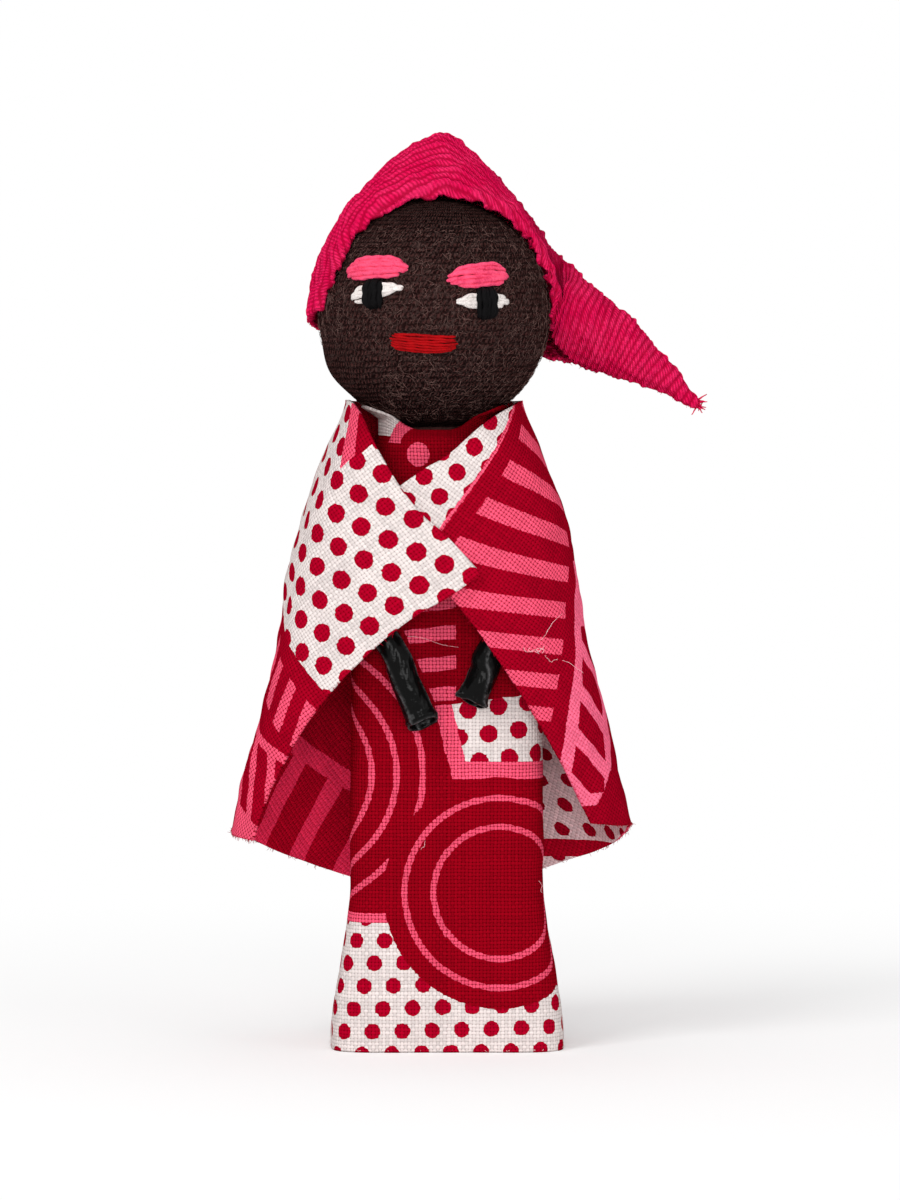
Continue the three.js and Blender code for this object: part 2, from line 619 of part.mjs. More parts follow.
// Hat: sections that fan out from over the face, round the back of the head and into the tail.
// centre is from the head's centre; turn swings a section back from the face's plane; lean tips it;
// half, up and down are its sizes; from and to are the angles where its lower edges are;
// peaked under 2 gives a section a pointed top, and slim does so on the tail's side. Sizes are shares
// of the head's radius.
const round = 1 + (FIT + HAT_WALL) / HEAD_RADIUS;
const peak = 1 + PEAK_RISE / HEAD_RADIUS;
const tip = vec(TAIL_REACH, 0, -TAIL_DROP).divideScalar(HEAD_RADIUS);
const hatSections = [
  { centre: [0, -0.1, 0.02], turn: 0, lean: -9, half: round, up: round, down: round,
    from: -97, to: 96, peaked: 2.05, slim: 2.05 },
  { centre: [0.08, 0.32, 0], turn: 18, lean: -4, half: round, up: peak, down: round,
    from: -99, to: 110, peaked: 1.5, slim: 1.42 },
  { centre: [0.42, 0.56, 0], turn: 40, lean: 5, half: 0.9, up: 1.22, down: 0.9,
    from: -103, to: 121, peaked: 1.45, slim: 1.3 },
  { centre: [0.83, 0.51, 0.02], turn: 65, lean: 14, half: 0.62, up: 0.62, down: 0.58,
    from: -108, to: 128, peaked: 1.6, slim: 1.5 },
  { centre: [1.17, 0.29, 0.07], turn: 90, lean: 20, half: 0.45, up: 0.28, down: 0.53,
    from: -132, to: 158, peaked: 1.75, slim: 1.75 },
  { centre: [0.7 * tip.x, 0.2, 0.39 * tip.z], turn: 90, lean: 31, half: 0.24, up: 0.27, down: 0.25,
    from: -172, to: 172, peaked: 1.8, slim: 1.8 },
  { centre: [0.88 * tip.x, 0.14, 0.73 * tip.z], turn: 90, lean: 35, half: 0.12, up: 0.12, down: 0.11,
    from: -173, to: 173, peaked: 1.9, slim: 1.9 },
  { centre: [tip.x, 0.1, tip.z], turn: 90, lean: 35, half: 0.05, up: 0.05, down: 0.05,
    from: -173, to: 173, peaked: 2, slim: 2 },
];

function hatSide(u, v) {
  const value = (key) => through(hatSections.map((section) => section[key]), v);
  const place = (k) => through(hatSections.map((section) => section.centre[k]), v);
  const angle = rad(lerp(value('from'), value('to'), u));
  const turn = rad(value('turn'));
  const lean = rad(value('lean'));
  const side = vec(-Math.cos(turn), Math.sin(turn), 0);
  const back = vec(Math.sin(turn), Math.cos(turn), 0);
  const upward = vec(0, 0, Math.cos(lean)).addScaledVector(back, Math.sin(lean));
  const high = Math.cos(angle) > 0;
  const exponent = high ? 2 / value(angle > 0 ? 'peaked' : 'slim') : 1;
  return vec(place(0), place(1), place(2))
    .addScaledVector(side, value('half') * power(Math.sin(angle), exponent))
    .addScaledVector(upward, value(high ? 'up' : 'down') * power(Math.cos(angle), exponent))
    .multiplyScalar(HEAD_RADIUS)
    .add(head);
}
const tailThinning = 0.65;
const hatThickness = (u, v) => HAT_WALL * (1 - tailThinning * smoothstep(v, 0.65, 1));
const hat = slab(hatSide, under(hatSide, hatThickness), 24, 19);

// Materials and the finished assembly
const card = { color: 0xb08d5f, roughness: 0.9, metalness: 0 };
const wool = { color: 0xe8e2d6, roughness: 1, metalness: 0 };
const wood = { color: 0xc9a36a, roughness: 0.7, metalness: 0 };
const steel = { color: 0x8a8d90, roughness: 0.4, metalness: 1 };
const plastic = { color: 0x16161a, roughness: 0.3, metalness: 0 };
const print = { color: 0xb8203f, roughness: 0.95, metalness: 0 };
const knit = { color: 0x3a2624, roughness: 1, metalness: 0 };
const hood = { color: 0xc8123f, roughness: 1, metalness: 0 };
const pink = { color: 0xf2557f, roughness: 0.7, metalness: 0 };
const cream = { color: 0xeae2da, roughness: 0.8, metalness: 0 };
const black = { color: 0x141214, roughness: 0.8, metalness: 0 };
const red = { color: 0xc01818, roughness: 0.7, metalness: 0 };

const pieces = [
  ['base_card', baseCard, card],
  ['core_tube', coreTube, card],
  ['body_stuffing', bodyStuffing, wool],
  ['neck_dowel', neckDowel, wood],
  ['arm_wire', armWire, steel],
  ['left_arm', upperArm('left'), plastic],
  ['right_arm', upperArm('right'), plastic],
  ['left_hand', hand('left'), plastic],
  ['right_hand', hand('right'), plastic],
  ['dress', dress, print],
  ['cape', cape, print],
  ['head_ball', headBall, wool],
  ['head_cover', headCover, knit],
  ['neck_binding', neckBinding, knit],
  ['right_eyelid', face.right_eyelid, pink],
  ['left_eyelid', face.left_eyelid, pink],
  ['right_eye_white', face.right_eye_white, cream],
  ['left_eye_white', face.left_eye_white, cream],
  ['right_pupil', face.right_pupil, black],
  ['left_pupil', face.left_pupil, black],
  ['mouth', face.mouth, red],
  ['hat', hat, hood],
];

const doll = new THREE.Group();
doll.name = 'worry_doll';
for (const [name, geometry, look] of pieces) {
  const mesh = new THREE.Mesh(geometry, new THREE.MeshStandardMaterial(look));
  mesh.name = name;
  doll.add(mesh);
}
export default doll;
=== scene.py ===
# The worry doll's looks: cloth, knit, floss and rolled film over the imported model, with a plain studio.
import functools
import math

import bpy
import numpy as np
from mathutils import Euler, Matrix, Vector


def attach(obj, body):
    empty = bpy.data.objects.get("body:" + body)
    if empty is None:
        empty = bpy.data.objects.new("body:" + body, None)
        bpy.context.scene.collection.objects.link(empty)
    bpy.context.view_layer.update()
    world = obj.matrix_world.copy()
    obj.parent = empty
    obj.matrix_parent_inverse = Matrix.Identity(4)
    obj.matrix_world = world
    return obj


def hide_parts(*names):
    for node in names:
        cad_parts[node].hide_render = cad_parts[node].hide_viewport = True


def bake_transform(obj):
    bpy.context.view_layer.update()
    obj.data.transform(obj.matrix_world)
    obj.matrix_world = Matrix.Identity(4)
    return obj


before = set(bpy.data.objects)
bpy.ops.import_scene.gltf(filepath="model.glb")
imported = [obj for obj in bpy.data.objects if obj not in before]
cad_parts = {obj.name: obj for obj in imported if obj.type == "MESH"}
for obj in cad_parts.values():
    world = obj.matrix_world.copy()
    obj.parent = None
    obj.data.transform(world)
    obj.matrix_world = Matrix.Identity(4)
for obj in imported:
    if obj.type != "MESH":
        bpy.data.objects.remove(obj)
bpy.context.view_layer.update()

MM = 0.001

# Sizes of the model in millimetres, as in the part's source
FIT = 0.3
CLOTH = 0.5
BLOCK_POWER = 6
CORE_HALF_WIDTH = 8.9
CORE_HALF_DEPTH = 6
CORE_WALL = 0.8
CORE_TOP = 36
CHEST_RISE = 10
SHOULDER_RISE = 8
NECK_RISE = 7.6
BASE_CARD = 0.8
DOWEL_RADIUS = 2
FLARE_HEIGHT = 18
FLARE_WIDTH = 2.1
FLARE_DEPTH = 0.9
LAP_ANGLE = 40
LAP_GAP = 0.15
CHEST_POWER = 2.6
SHOULDER_POWER = 2.4
SHOULDER_SLOPE = 1.4
SHOULDER_SLANT = 0.4
YOKE_SLOPE = 2.6
YOKE_EASE = 0.4
YOKE_POWER = 2.2
DRESS_RIM = 5.6
COLLAR_RISE = 2.9  # cloth turned up against the head
COLLAR_DIP = 0.25
COLLAR_EASE = 0.42
COLLAR_ANGLES = (15, 75)  # degrees from the front between which the collar rises
HEAD_RADIUS = 11.7
HEAD_X = -1.3
COVER_WALL = 0.7
CHIN_GAP = 2.05
SLEEVE_DROP = 3.2
BINDING_RADIUS = 0.3
BINDING_PITCH = 0.7
BINDING_TURNS = 4
ARM_RADIUS = 1.5
ARM_LAP = 0.18
ARM_TWIST = 150
ARM_GAP = 0.4
SHOULDER_ANGLE = 98  # degrees round the dress from the front, like the next two
UPPER_ARM_ANGLE = 80
ELBOW_ANGLES = {"left": 44, "right": -46}
UPPER_ARM_RISE = 0.54  # share of the way from the chest to the shoulder
LEFT_FOREARM = (4.4, 5.6)
LEFT_BEND = (3.75, 7.8)
LEFT_END = (2.45, 10.8)
RIGHT_FOREARM = (-5.4, 5.3)
RIGHT_BEND = (-4.35, 8)
RIGHT_END = (-2.4, 12.9)
COLLAR_RADIUS = 8.5
COLLAR_GAP = 0.95
CAPE_POWER = 2.3
CAPE_HEM_HALF_WIDTH = 19.8
CAPE_HEM_BACK = 13
CAPE_LENGTH = 50.6
FOLD_DEPTH = 0.7
FOLD_TURNS = 4.5  # folds in each turn round the cape
CROSSED = (0.12, 0.3)  # share of the way round where the upper flap stops lying over the other
BACK = ((0.25, 0.4), (0.6, 0.75))  # shares of the way round where the folds begin and end
RIGHT_CORNER = (3.1, 16.7)
RIGHT_NECK = (-6.5, 4.2)
RIGHT_HEM = (-18.4, 6.9)
LEFT_CORNER = (-7, 9.8)
LEFT_NECK = (3, 2.5)
LEFT_HEM = (14.2, 8.7)
HAT_WALL = 0.6
PEAK_RISE = 6.5
TAIL_REACH = 26.7
TAIL_DROP = 9.3

# Yarn and thread, in millimetres
THREAD_PITCH = 0.36
THREAD_RELIEF = 0.08
VALLEY_SHADE = 0.2
HOLE_SHADE = 0.35
COTTON = 0.36  # thickness of the shown cloth
ROW_PITCH = 0.62  # courses of the stocking
WALE_PITCH = 0.5
EYE_COURSE = 29  # the course across the middle of the face
CURL_SIZES = (0.5, 0.72, 1.05)
RIB_PITCH = 0.74
RIB_SLANT = 9  # ribs that end at the edge over the face, from the side to the top
LOW_RIB = 0.4  # how much lower every other rib lies
LOOP_PITCH = 0.42
TOOTH_PITCH = 0.85
TOOTH = 0.35

# Camera
CAMERA_X = 0.3
CAMERA_DISTANCE = 600
CAMERA_HEIGHT = 76.45
CAMERA_PITCH = 3
CAMERA_LENS = 178.4
CAMERA_SENSOR = 36

# Colours, linear
CRIMSON = (0.285, 0.001, 0.008)
CAPE_RED = (0.35, 0.001, 0.014)
DOT_RED = (0.41, 0.001, 0.018)
PINK = (0.97, 0.098, 0.19)
BAND_PINK = (1, 0.16, 0.285)
WHITE = (0.79, 0.7, 0.68)
# Lining colours, painted lighter than the outside's to stand in for light shining through the thin cloth
LINING_RED = (0.5, 0.002, 0.02)
LINING_PINK = (1, 0.035, 0.12)
LINING_WHITE = (0.92, 0.66, 0.68)
HOOD = (0.74, 0.006, 0.082)
HOOD_LIGHT = (0.88, 0.022, 0.13)
HOOD_SHADE = (0.3, 0.001, 0.018)
BROWN = (0.063, 0.024, 0.022)
BROWN_SHADE = (0.004, 0.002, 0.002)
FUZZ_BROWN = (0.085, 0.05, 0.045)
HAIR_BROWN = (0.19, 0.105, 0.092)
LID_PINK = (0.93, 0.095, 0.2)
LID_SHADE = (0.6, 0.02, 0.08)
FLOSS_WHITE = (0.82, 0.76, 0.73)
FLOSS_GREY = (0.45, 0.4, 0.38)
FLOSS_BLACK = (0.004, 0.0035, 0.004)
BLACK_SHADE = (0.001, 0.001, 0.001)
MOUTH_RED = (0.39, 0.002, 0.004)
MOUTH_SHADE = (0.16, 0.001, 0.002)
FILM_BLACK = (0.003, 0.003, 0.003)
# pale grey of the painted highlight on the arms' film
FILM_HIGHLIGHT_GREY = (0.085, 0.083, 0.085)
CARD_BROWN = (0.43, 0.27, 0.12)
STICK_WOOD = (0.58, 0.37, 0.15)
STEEL = (0.45, 0.46, 0.47)
WADDING = (0.8, 0.76, 0.68)


# Shapes

def smoothstep(x, low, high):
    t = np.clip((x - low) / (high - low), 0, 1)
    return t * t * (3 - 2 * t)


def lerp(a, b, t):
    return a + (b - a) * t


def power(value, exponent):
    return np.sign(value) * np.abs(value) ** exponent


def through(values, t):
    """A smooth value through evenly spaced key values, with t from 0 to 1."""
    keys = np.asarray(values, float)
    last = len(keys) - 1
    place = np.clip(t, 0, 1) * last
    i = np.minimum(np.floor(place).astype(int), last - 1)
    f = place - i

    def at(k):
        return keys[np.clip(k, 0, last)]

    slope_a = (at(i + 1) - at(i - 1)) / 2
    slope_b = (at(i + 2) - at(i)) / 2
    rise = at(i + 1) - at(i)
    return at(i) + f * (slope_a + f * (3 * rise - 2 * slope_a - slope_b + f * (slope_a + slope_b - 2 * rise)))


def rows_at(rows, column, z):
    """A smooth value through rows sorted by height, each row being (height, value, value...)."""
    z = np.asarray(z, float)
    heights = np.array([row[0] for row in rows], float)
    i = np.clip(np.searchsorted(heights[1:], z, side="left"), 0, len(rows) - 2)
    share = (z - heights[i]) / (heights[i + 1] - heights[i])
    return through([row[column] for row in rows], (i + share) / (len(rows) - 1))


def oval(half_width, front, back, exponent, degrees):
    """x and y of an oval; angle 0 is the front, 90 the doll's left, 180 the back."""
    angle = np.radians(degrees)
    s = np.sin(angle)
    c = np.cos(angle)
    depth = np.where(c > 0, front, back)
    return half_width * power(s, 2 / exponent), -depth * power(c, 2 / exponent)


def unit(v):
    return v / np.maximum(np.linalg.norm(v, axis=-1, keepdims=True), 1e-12)


def ripple(points, size, seed, waves=8):
    """Smooth unevenness of about -1 to 1, with bumps of about that size."""
    rng = np.random.default_rng(seed)
    total = np.zeros(points.shape[:-1])
    for _ in range(waves):
        way = unit(rng.normal(size=3)) * 2 * math.pi / size * rng.uniform(0.6, 1.4)
        total += np.sin(points @ way + rng.uniform(0, 2 * math.pi))
    return total / math.sqrt(waves)


def normals_of(points):
    """Normals of a grid of points, with rows along v and columns along u."""
    du = np.gradient(points, axis=1)
    dv = np.gradient(points, axis=0)
    return unit(np.cross(du, dv))


def along(points, axis):
    """Distance from the first point of each line of a grid."""
    steps = np.linalg.norm(np.diff(points, axis=axis), axis=-1)
    start = np.zeros_like(np.take(steps, [0], axis=axis))
    return np.concatenate([start, np.cumsum(steps, axis=axis)], axis=axis)


chest = CORE_TOP + CHEST_RISE
shoulder = chest + SHOULDER_RISE
dress_top = shoulder + NECK_RISE
dress_half_width = CORE_HALF_WIDTH + FIT + CLOTH
dress_depth = CORE_HALF_DEPTH + FIT + CLOTH
lap_lift = CLOTH + LAP_GAP
arm_out = ARM_GAP + ARM_RADIUS
arm_layer = ARM_GAP + 2 * ARM_RADIUS
cape_over_arm = FIT + CLOTH
head_z = dress_top + CHIN_GAP + math.sqrt(HEAD_RADIUS ** 2 - DRESS_RIM ** 2)
HEAD = np.array([HEAD_X, 0, head_z])
collar_z = head_z - math.sqrt(HEAD_RADIUS ** 2 - COLLAR_RADIUS ** 2) - COLLAR_GAP
cape_hem_z = collar_z - CAPE_LENGTH
bore_radius = DOWEL_RADIUS + FIT
sleeve_radius = bore_radius + COVER_WALL
sleeve_foot = head_z - HEAD_RADIUS - SLEEVE_DROP

# Rows of the dress: height, half width, depth and how square the oval is
DRESS_ROWS = [
    (FLARE_HEIGHT, dress_half_width, dress_depth, BLOCK_POWER),
    (CORE_TOP, dress_half_width, dress_depth, BLOCK_POWER),
    (chest, dress_half_width, dress_depth, CHEST_POWER),
    (shoulder, dress_half_width - SHOULDER_SLOPE, dress_depth - SHOULDER_SLANT, SHOULDER_POWER),
    ((shoulder + dress_top) / 2, dress_half_width - YOKE_SLOPE, DRESS_RIM + YOKE_EASE, YOKE_POWER),
    (dress_top, DRESS_RIM, DRESS_RIM, 2),
]


def body_x(z):
    return HEAD_X * smoothstep(z, chest, dress_top)


def dress_sizes(z):
    height = np.maximum(z, FLARE_HEIGHT)
    flare = smoothstep(FLARE_HEIGHT - z, 0, FLARE_HEIGHT)
    half_width = rows_at(DRESS_ROWS, 1, height) + FLARE_WIDTH * flare
    depth = rows_at(DRESS_ROWS, 2, height) + FLARE_DEPTH * flare
    return half_width, depth, rows_at(DRESS_ROWS, 3, height)


def collar_share(degrees):
    """The collar's height at an angle: low under the chin, full at the sides and back."""
    return lerp(COLLAR_DIP, 1, smoothstep(np.abs(degrees), *COLLAR_ANGLES))


def collar_lift(z):
    """How far the dress's collar stands out from its rim, so that it lies against the head."""
    under_head = np.sqrt(np.maximum(HEAD_RADIUS ** 2 - (head_z - z) ** 2, 0))
    return np.maximum(under_head + COLLAR_EASE - DRESS_RIM, 0)


def off_dress(degrees, z, distance):
    """A point that lies a given distance outside the dress."""
    half_width, depth, exponent = dress_sizes(z)
    x, y = oval(half_width + distance, depth + distance, depth + distance, exponent, degrees)
    return np.stack([body_x(z) + x, y, z + 0 * x], axis=-1)


def dense_angles(first, last, count):
    """Angles from first to last, close together where an oval's points lie far apart."""
    quarter = np.linspace(first / 90, last / 90, count)
    whole = np.floor(quarter)
    return 90 * (whole + np.sin(math.pi / 2 * (quarter - whole)) ** 2)


def oval_travel(sizes, degrees):
    """Length along an oval at each of a row of angles, from the first of them."""
    x, y = oval(*sizes, degrees)
    return np.concatenate([[0], np.cumsum(np.hypot(np.diff(x), np.diff(y)))])


def arc_from_front(sizes, degrees):
    """Length along an oval from its front to an angle, negative to the doll's right."""
    fan = dense_angles(-450, 450, 2401)
    travel = oval_travel(sizes, fan)
    return np.interp(degrees, fan, travel) - np.interp(0, fan, travel)


def arm_front(place):
    """The point of the arm that the front view shows at x, so far below the chest."""
    x, below = place
    z = chest - below
    half_width, _, exponent = dress_sizes(z)
    share = np.clip((x - body_x(z)) / (half_width + arm_out), -1, 1)
    degrees = np.degrees(np.arcsin(power(share, exponent / 2)))
    return off_dress(degrees, z, arm_out)


def arm_points(side, shown):
    """Points of an arm's middle line: the shoulder, the upper arm, the elbow, then those that show."""
    way = 1 if side == "left" else -1
    upper = (UPPER_ARM_ANGLE * way, lerp(chest, shoulder, UPPER_ARM_RISE))
    hidden = [(SHOULDER_ANGLE * way, shoulder), upper, (ELBOW_ANGLES[side], chest - FIT)]
    return np.array([off_dress(a, z, arm_out) for a, z in hidden] + [arm_front(p) for p in shown])


ARMS = {
    "left": arm_points("left", [LEFT_FOREARM, LEFT_BEND, LEFT_END]),
    "right": arm_points("right", [RIGHT_FOREARM, RIGHT_BEND, RIGHT_END]),
}
BEND = 4  # which of the points is the bend of the wire

over_lap = dress_depth + lap_lift + cape_over_arm
over_arm_depth = dress_depth + arm_layer + cape_over_arm


def over_arm_width(z):
    return rows_at(DRESS_ROWS, 1, z) + arm_layer + cape_over_arm


def hem_width(share):
    return lerp(over_arm_width(chest), CAPE_HEM_HALF_WIDTH, share)


def hem_back(share):
    return lerp(over_lap, CAPE_HEM_BACK, share)


# Rows of the cape: height, half width, depth in front and depth behind
CAPE_ROWS = [
    (cape_hem_z, hem_width(1.24), over_arm_depth, hem_back(1.08)),
    (lerp(chest, cape_hem_z, 0.62), hem_width(0.8), over_arm_depth + FIT, hem_back(0.72)),
    (lerp(chest, cape_hem_z, 0.27), hem_width(0.35), over_arm_depth + FIT, hem_back(0.4)),
    (chest + 1, hem_width(0.06), over_arm_depth + FIT, hem_back(0.15)),
    (shoulder, over_arm_width(shoulder) + FIT, over_arm_depth - FIT, over_lap + FIT),
    (lerp(shoulder, collar_z, 0.6), COLLAR_RADIUS + 1.8, COLLAR_RADIUS + 1.9, COLLAR_RADIUS),
    (collar_z, COLLAR_RADIUS, COLLAR_RADIUS, COLLAR_RADIUS - FIT),
]


def cape_angle(x, z):
    """The angle round the cape of a point that the front view shows at x."""
    share = np.clip((x - HEAD_X) / rows_at(CAPE_ROWS, 1, z), -1, 1)
    return np.degrees(np.arcsin(power(share, CAPE_POWER / 2)))


def cape_arc(degrees, z):
    """Length round the cape from the front to an angle, at one height."""
    return arc_from_front([*(rows_at(CAPE_ROWS, column, z) for column in (1, 2, 3)), CAPE_POWER], degrees)


def below(place):
    """Angle and height of a place given by its x in the front view and its distance below the collar."""
    z = collar_z - place[1]
    return float(cape_angle(place[0], z)), z


def above(place):
    """The same for a place given by its height above the hem."""
    z = cape_hem_z + place[1]
    return float(cape_angle(place[0], z)), z


def full_turn(place):
    """The same place counted on round the back from the doll's right."""
    return place[0] - 360, place[1]


# Upper edge, hem and sideways bow of the cape's columns, from the doll's right flap round the back
CAPE_COLUMNS = [
    (*below(RIGHT_CORNER), *above(RIGHT_HEM), -17),
    (*below(RIGHT_NECK), -76, cape_hem_z + 7.1, -8),
    (-64, collar_z, -97, cape_hem_z + 7.2, 0),
    (-120, collar_z, -138, cape_hem_z + 3.6, 0),
    (-180, collar_z, -180, cape_hem_z, 0),
    (-240, collar_z, -222, cape_hem_z + 3.6, 0),
    (-288, collar_z, -266, cape_hem_z + 7.7, 0),
    (*full_turn(below(LEFT_NECK)), -288, cape_hem_z + 8.1, 4),
    (*full_turn(below(LEFT_CORNER)), *full_turn(above(LEFT_HEM)), 9),
]


def cape_side(u, v):
    """Points of the cape, with their angle and height."""
    top_angle, top_z, hem_angle, hem_z, bow = [through(column, u) for column in zip(*CAPE_COLUMNS)]
    degrees = lerp(top_angle, hem_angle, v) + bow * 4 * v * (1 - v)
    z = lerp(top_z, hem_z, v)
    crossed = (CLOTH + FIT) * (1 - smoothstep(u, *CROSSED))
    behind = smoothstep(u, *BACK[0]) * (1 - smoothstep(u, *BACK[1]))
    lift = crossed + FOLD_DEPTH * behind * v * v * np.cos(np.radians(FOLD_TURNS * degrees))
    sizes = [rows_at(CAPE_ROWS, column, z) + lift for column in (1, 2, 3)]
    x, y = oval(*sizes, CAPE_POWER, degrees)
    return np.stack([HEAD_X + x, y, z], axis=-1), degrees, z


hat_round = 1 + (FIT + HAT_WALL) / HEAD_RADIUS
hat_peak = 1 + PEAK_RISE / HEAD_RADIUS
tip_x = TAIL_REACH / HEAD_RADIUS
tip_z = -TAIL_DROP / HEAD_RADIUS

# Hat sections: centre x, y, z, turn, lean, half width, up, down, first and last angle, and the
# pointedness of the top on the face's right and on the tail's side
HAT_SECTIONS = [
    (0, -0.1, 0.02, 0, -9, hat_round, hat_round, hat_round, -97, 92, 2.05, 2.05),
    (0.08, 0.32, 0, 18, -4, hat_round, hat_peak, hat_round, -99, 100, 1.5, 1.42),
    (0.42, 0.56, 0, 40, 5, 0.9, 1.22, 0.9, -103, 113, 1.45, 1.3),
    (0.83, 0.51, 0.02, 65, 14, 0.62, 0.62, 0.58, -108, 128, 1.6, 1.5),
    (1.17, 0.29, 0.07, 90, 20, 0.45, 0.28, 0.53, -132, 158, 1.75, 1.75),
    (0.7 * tip_x, 0.2, 0.39 * tip_z, 90, 31, 0.24, 0.27, 0.25, -172, 172, 1.8, 1.8),
    (0.88 * tip_x, 0.14, 0.73 * tip_z, 90, 35, 0.12, 0.12, 0.11, -173, 173, 1.9, 1.9),
    (tip_x, 0.1, tip_z, 90, 35, 0.05, 0.05, 0.05, -173, 173, 2, 2),
]


def hat_side(u, v):
    """Points of the hat; v runs from the edge over the face to the tail's tip."""
    columns = [through(column, v) for column in zip(*HAT_SECTIONS)]
    x, y, z, turn, lean, half, up, down, first, last, peaked, slim = columns
    angle = np.radians(lerp(first, last, u))
    turn = np.radians(turn)
    lean = np.radians(lean)
    nothing = np.zeros_like(turn)
    side = np.stack([-np.cos(turn), np.sin(turn), nothing], axis=-1)
    back = np.stack([np.sin(turn), np.cos(turn), nothing], axis=-1)
    upward = np.array([0, 0, 1]) * np.cos(lean)[..., None] + back * np.sin(lean)[..., None]
    high = np.cos(angle) > 0
    exponent = np.where(high, 2 / np.where(angle > 0, peaked, slim), 1)
    across = half * power(np.sin(angle), exponent)
    rise = np.where(high, up, down) * power(np.cos(angle), exponent)
    place = np.stack([x, y, z], axis=-1) + side * across[..., None] + upward * rise[..., None]
    return HEAD + HEAD_RADIUS * place


# Meshes

def add_mesh(name, points, faces, uv=None, values=None):
    """A smooth object from points in millimetres; uv maps and values are given per point."""
    mesh = bpy.data.meshes.new(name)
    mesh.from_pydata((np.asarray(points) * MM).tolist(), [], faces)
    mesh.polygons.foreach_set("use_smooth", [True] * len(mesh.polygons))
    corner = np.empty(len(mesh.loops), int)
    mesh.loops.foreach_get("vertex_index", corner)
    for label, flat in (uv or {}).items():
        layer = mesh.uv_layers.new(name=label)
        layer.data.foreach_set("uv", flat.reshape(-1, 2)[corner].astype(np.float32).ravel())
    for label, numbers in (values or {}).items():
        attribute = mesh.attributes.new(label, "FLOAT", "POINT")
        attribute.data.foreach_set("value", np.asarray(numbers, np.float32).ravel())
    mesh.update()
    obj = bpy.data.objects.new(name, mesh)
    bpy.context.scene.collection.objects.link(obj)
    return obj


def grid_faces(rows, columns, ring=False, first=0):
    """Faces of a grid of points stored row by row."""
    j, i = np.meshgrid(np.arange(rows - 1), np.arange(columns if ring else columns - 1), indexing="ij")
    right = (i + 1) % columns
    corners = [j * columns + i, j * columns + right, (j + 1) * columns + right, (j + 1) * columns + i]
    return (first + np.stack(corners, axis=-1).reshape(-1, 4)).tolist()


def capped_faces(rows, columns, first=0):
    """Faces of a tube of rings, closed at both ends."""
    faces = grid_faces(rows, columns, ring=True, first=first)
    faces.append(list(range(first + columns - 1, first - 1, -1)))
    faces.append(list(range(first + (rows - 1) * columns, first + rows * columns)))
    return faces


def add_sheet(name, points, uv, values=None):
    """An object from a grid of points."""
    return add_mesh(name, points.reshape(-1, 3), grid_faces(*points.shape[:2]), uv, values)


ASIDE = np.array([0.31, 0.87, 0.38])  # a way that few threads take, from which a tube's sides are set out
PLY_DEPTH = 0.16  # how deep the furrows of a plied thread are, as a share of its radius


def tube_parts(line, radius, sides, lobes=0, twist=0, first=0):
    """Points and faces of a closed tube; a number of lobes and a twist make it a plied thread."""
    count = len(line)
    way = unit(np.gradient(line, axis=0))
    helper = ASIDE if abs(way[0] @ ASIDE) < 0.9 else np.array([1.0, 0, 0])
    across = unit(np.cross(way, helper))
    upward = np.cross(way, across)
    angle = np.linspace(0, 2 * math.pi, sides, endpoint=False)
    travel = along(line[None], 1)[0]
    ply = 1 + (PLY_DEPTH * np.cos(lobes * (angle[None] - twist * travel[:, None])) if lobes else 0)
    reach = np.broadcast_to(radius, count)[:, None] * ply * np.ones((count, sides))
    sideways = across[:, None] * (reach * np.cos(angle))[..., None]
    ring = sideways + upward[:, None] * (reach * np.sin(angle))[..., None]
    points = (line[:, None] + ring).reshape(-1, 3)
    return points, capped_faces(count, sides, first)


def add_tubes(name, lines, radii, sides=4, lobes=0, twist=0):
    """One object of many closed tubes."""
    points = []
    faces = []
    count = 0
    for line, radius in zip(lines, radii):
        more, sheet = tube_parts(line, radius, sides, lobes, twist, count)
        points.append(more)
        faces.extend(sheet)
        count += len(more)
    return add_mesh(name, np.concatenate(points), faces)


def stray(start, way, length, curl, rng, count=7):
    """A short fibre that starts at a point, runs one way and curls at random."""
    step = length / (count - 1)
    line = [np.asarray(start, float)]
    for _ in range(count - 1):
        way = unit(way + curl * rng.normal(size=3))
        line.append(line[-1] + step * way)
    return np.array(line)


def wrinkles(points, layers):
    """Unevenness of several layers, each with a depth, a size and a seed."""
    return sum(depth * ripple(points, size, seed) for depth, size, seed in layers)


def tapered(radius, count):
    return radius * np.linspace(1, 0.35, count)


# Materials

def add_node(tree, kind, inputs=None, **settings):
    """A new shader node with its settings; an input is a constant, a number or a socket to link."""
    node = tree.nodes.new("ShaderNode" + kind)
    for label, value in settings.items():
        setattr(node, label, value)
    for label, value in (inputs or {}).items():
        if isinstance(value, Num):
            value = value.socket
        if isinstance(value, bpy.types.NodeSocket):
            tree.links.new(value, node.inputs[label])
        else:
            node.inputs[label].default_value = value
    return node


class Num:
    """A number in a material's nodes, which can be added, multiplied and compared."""

    def __init__(self, tree, socket):
        self.tree = tree
        self.socket = socket

    def math(self, operation, *others):
        node = add_node(self.tree, "Math", dict(enumerate((self, *others))), operation=operation)
        return Num(self.tree, node.outputs[0])

    def __rsub__(self, other):
        return self * -1 + other

    def nearest(self):
        return (self + 0.5).floor()

    def step(self, low, high):
        """0 under low, 1 over high, smooth between."""
        inputs = {"Value": self, "From Min": low, "From Max": high}
        node = add_node(self.tree, "MapRange", inputs, interpolation_type="SMOOTHSTEP")
        return Num(self.tree, node.outputs["Result"])


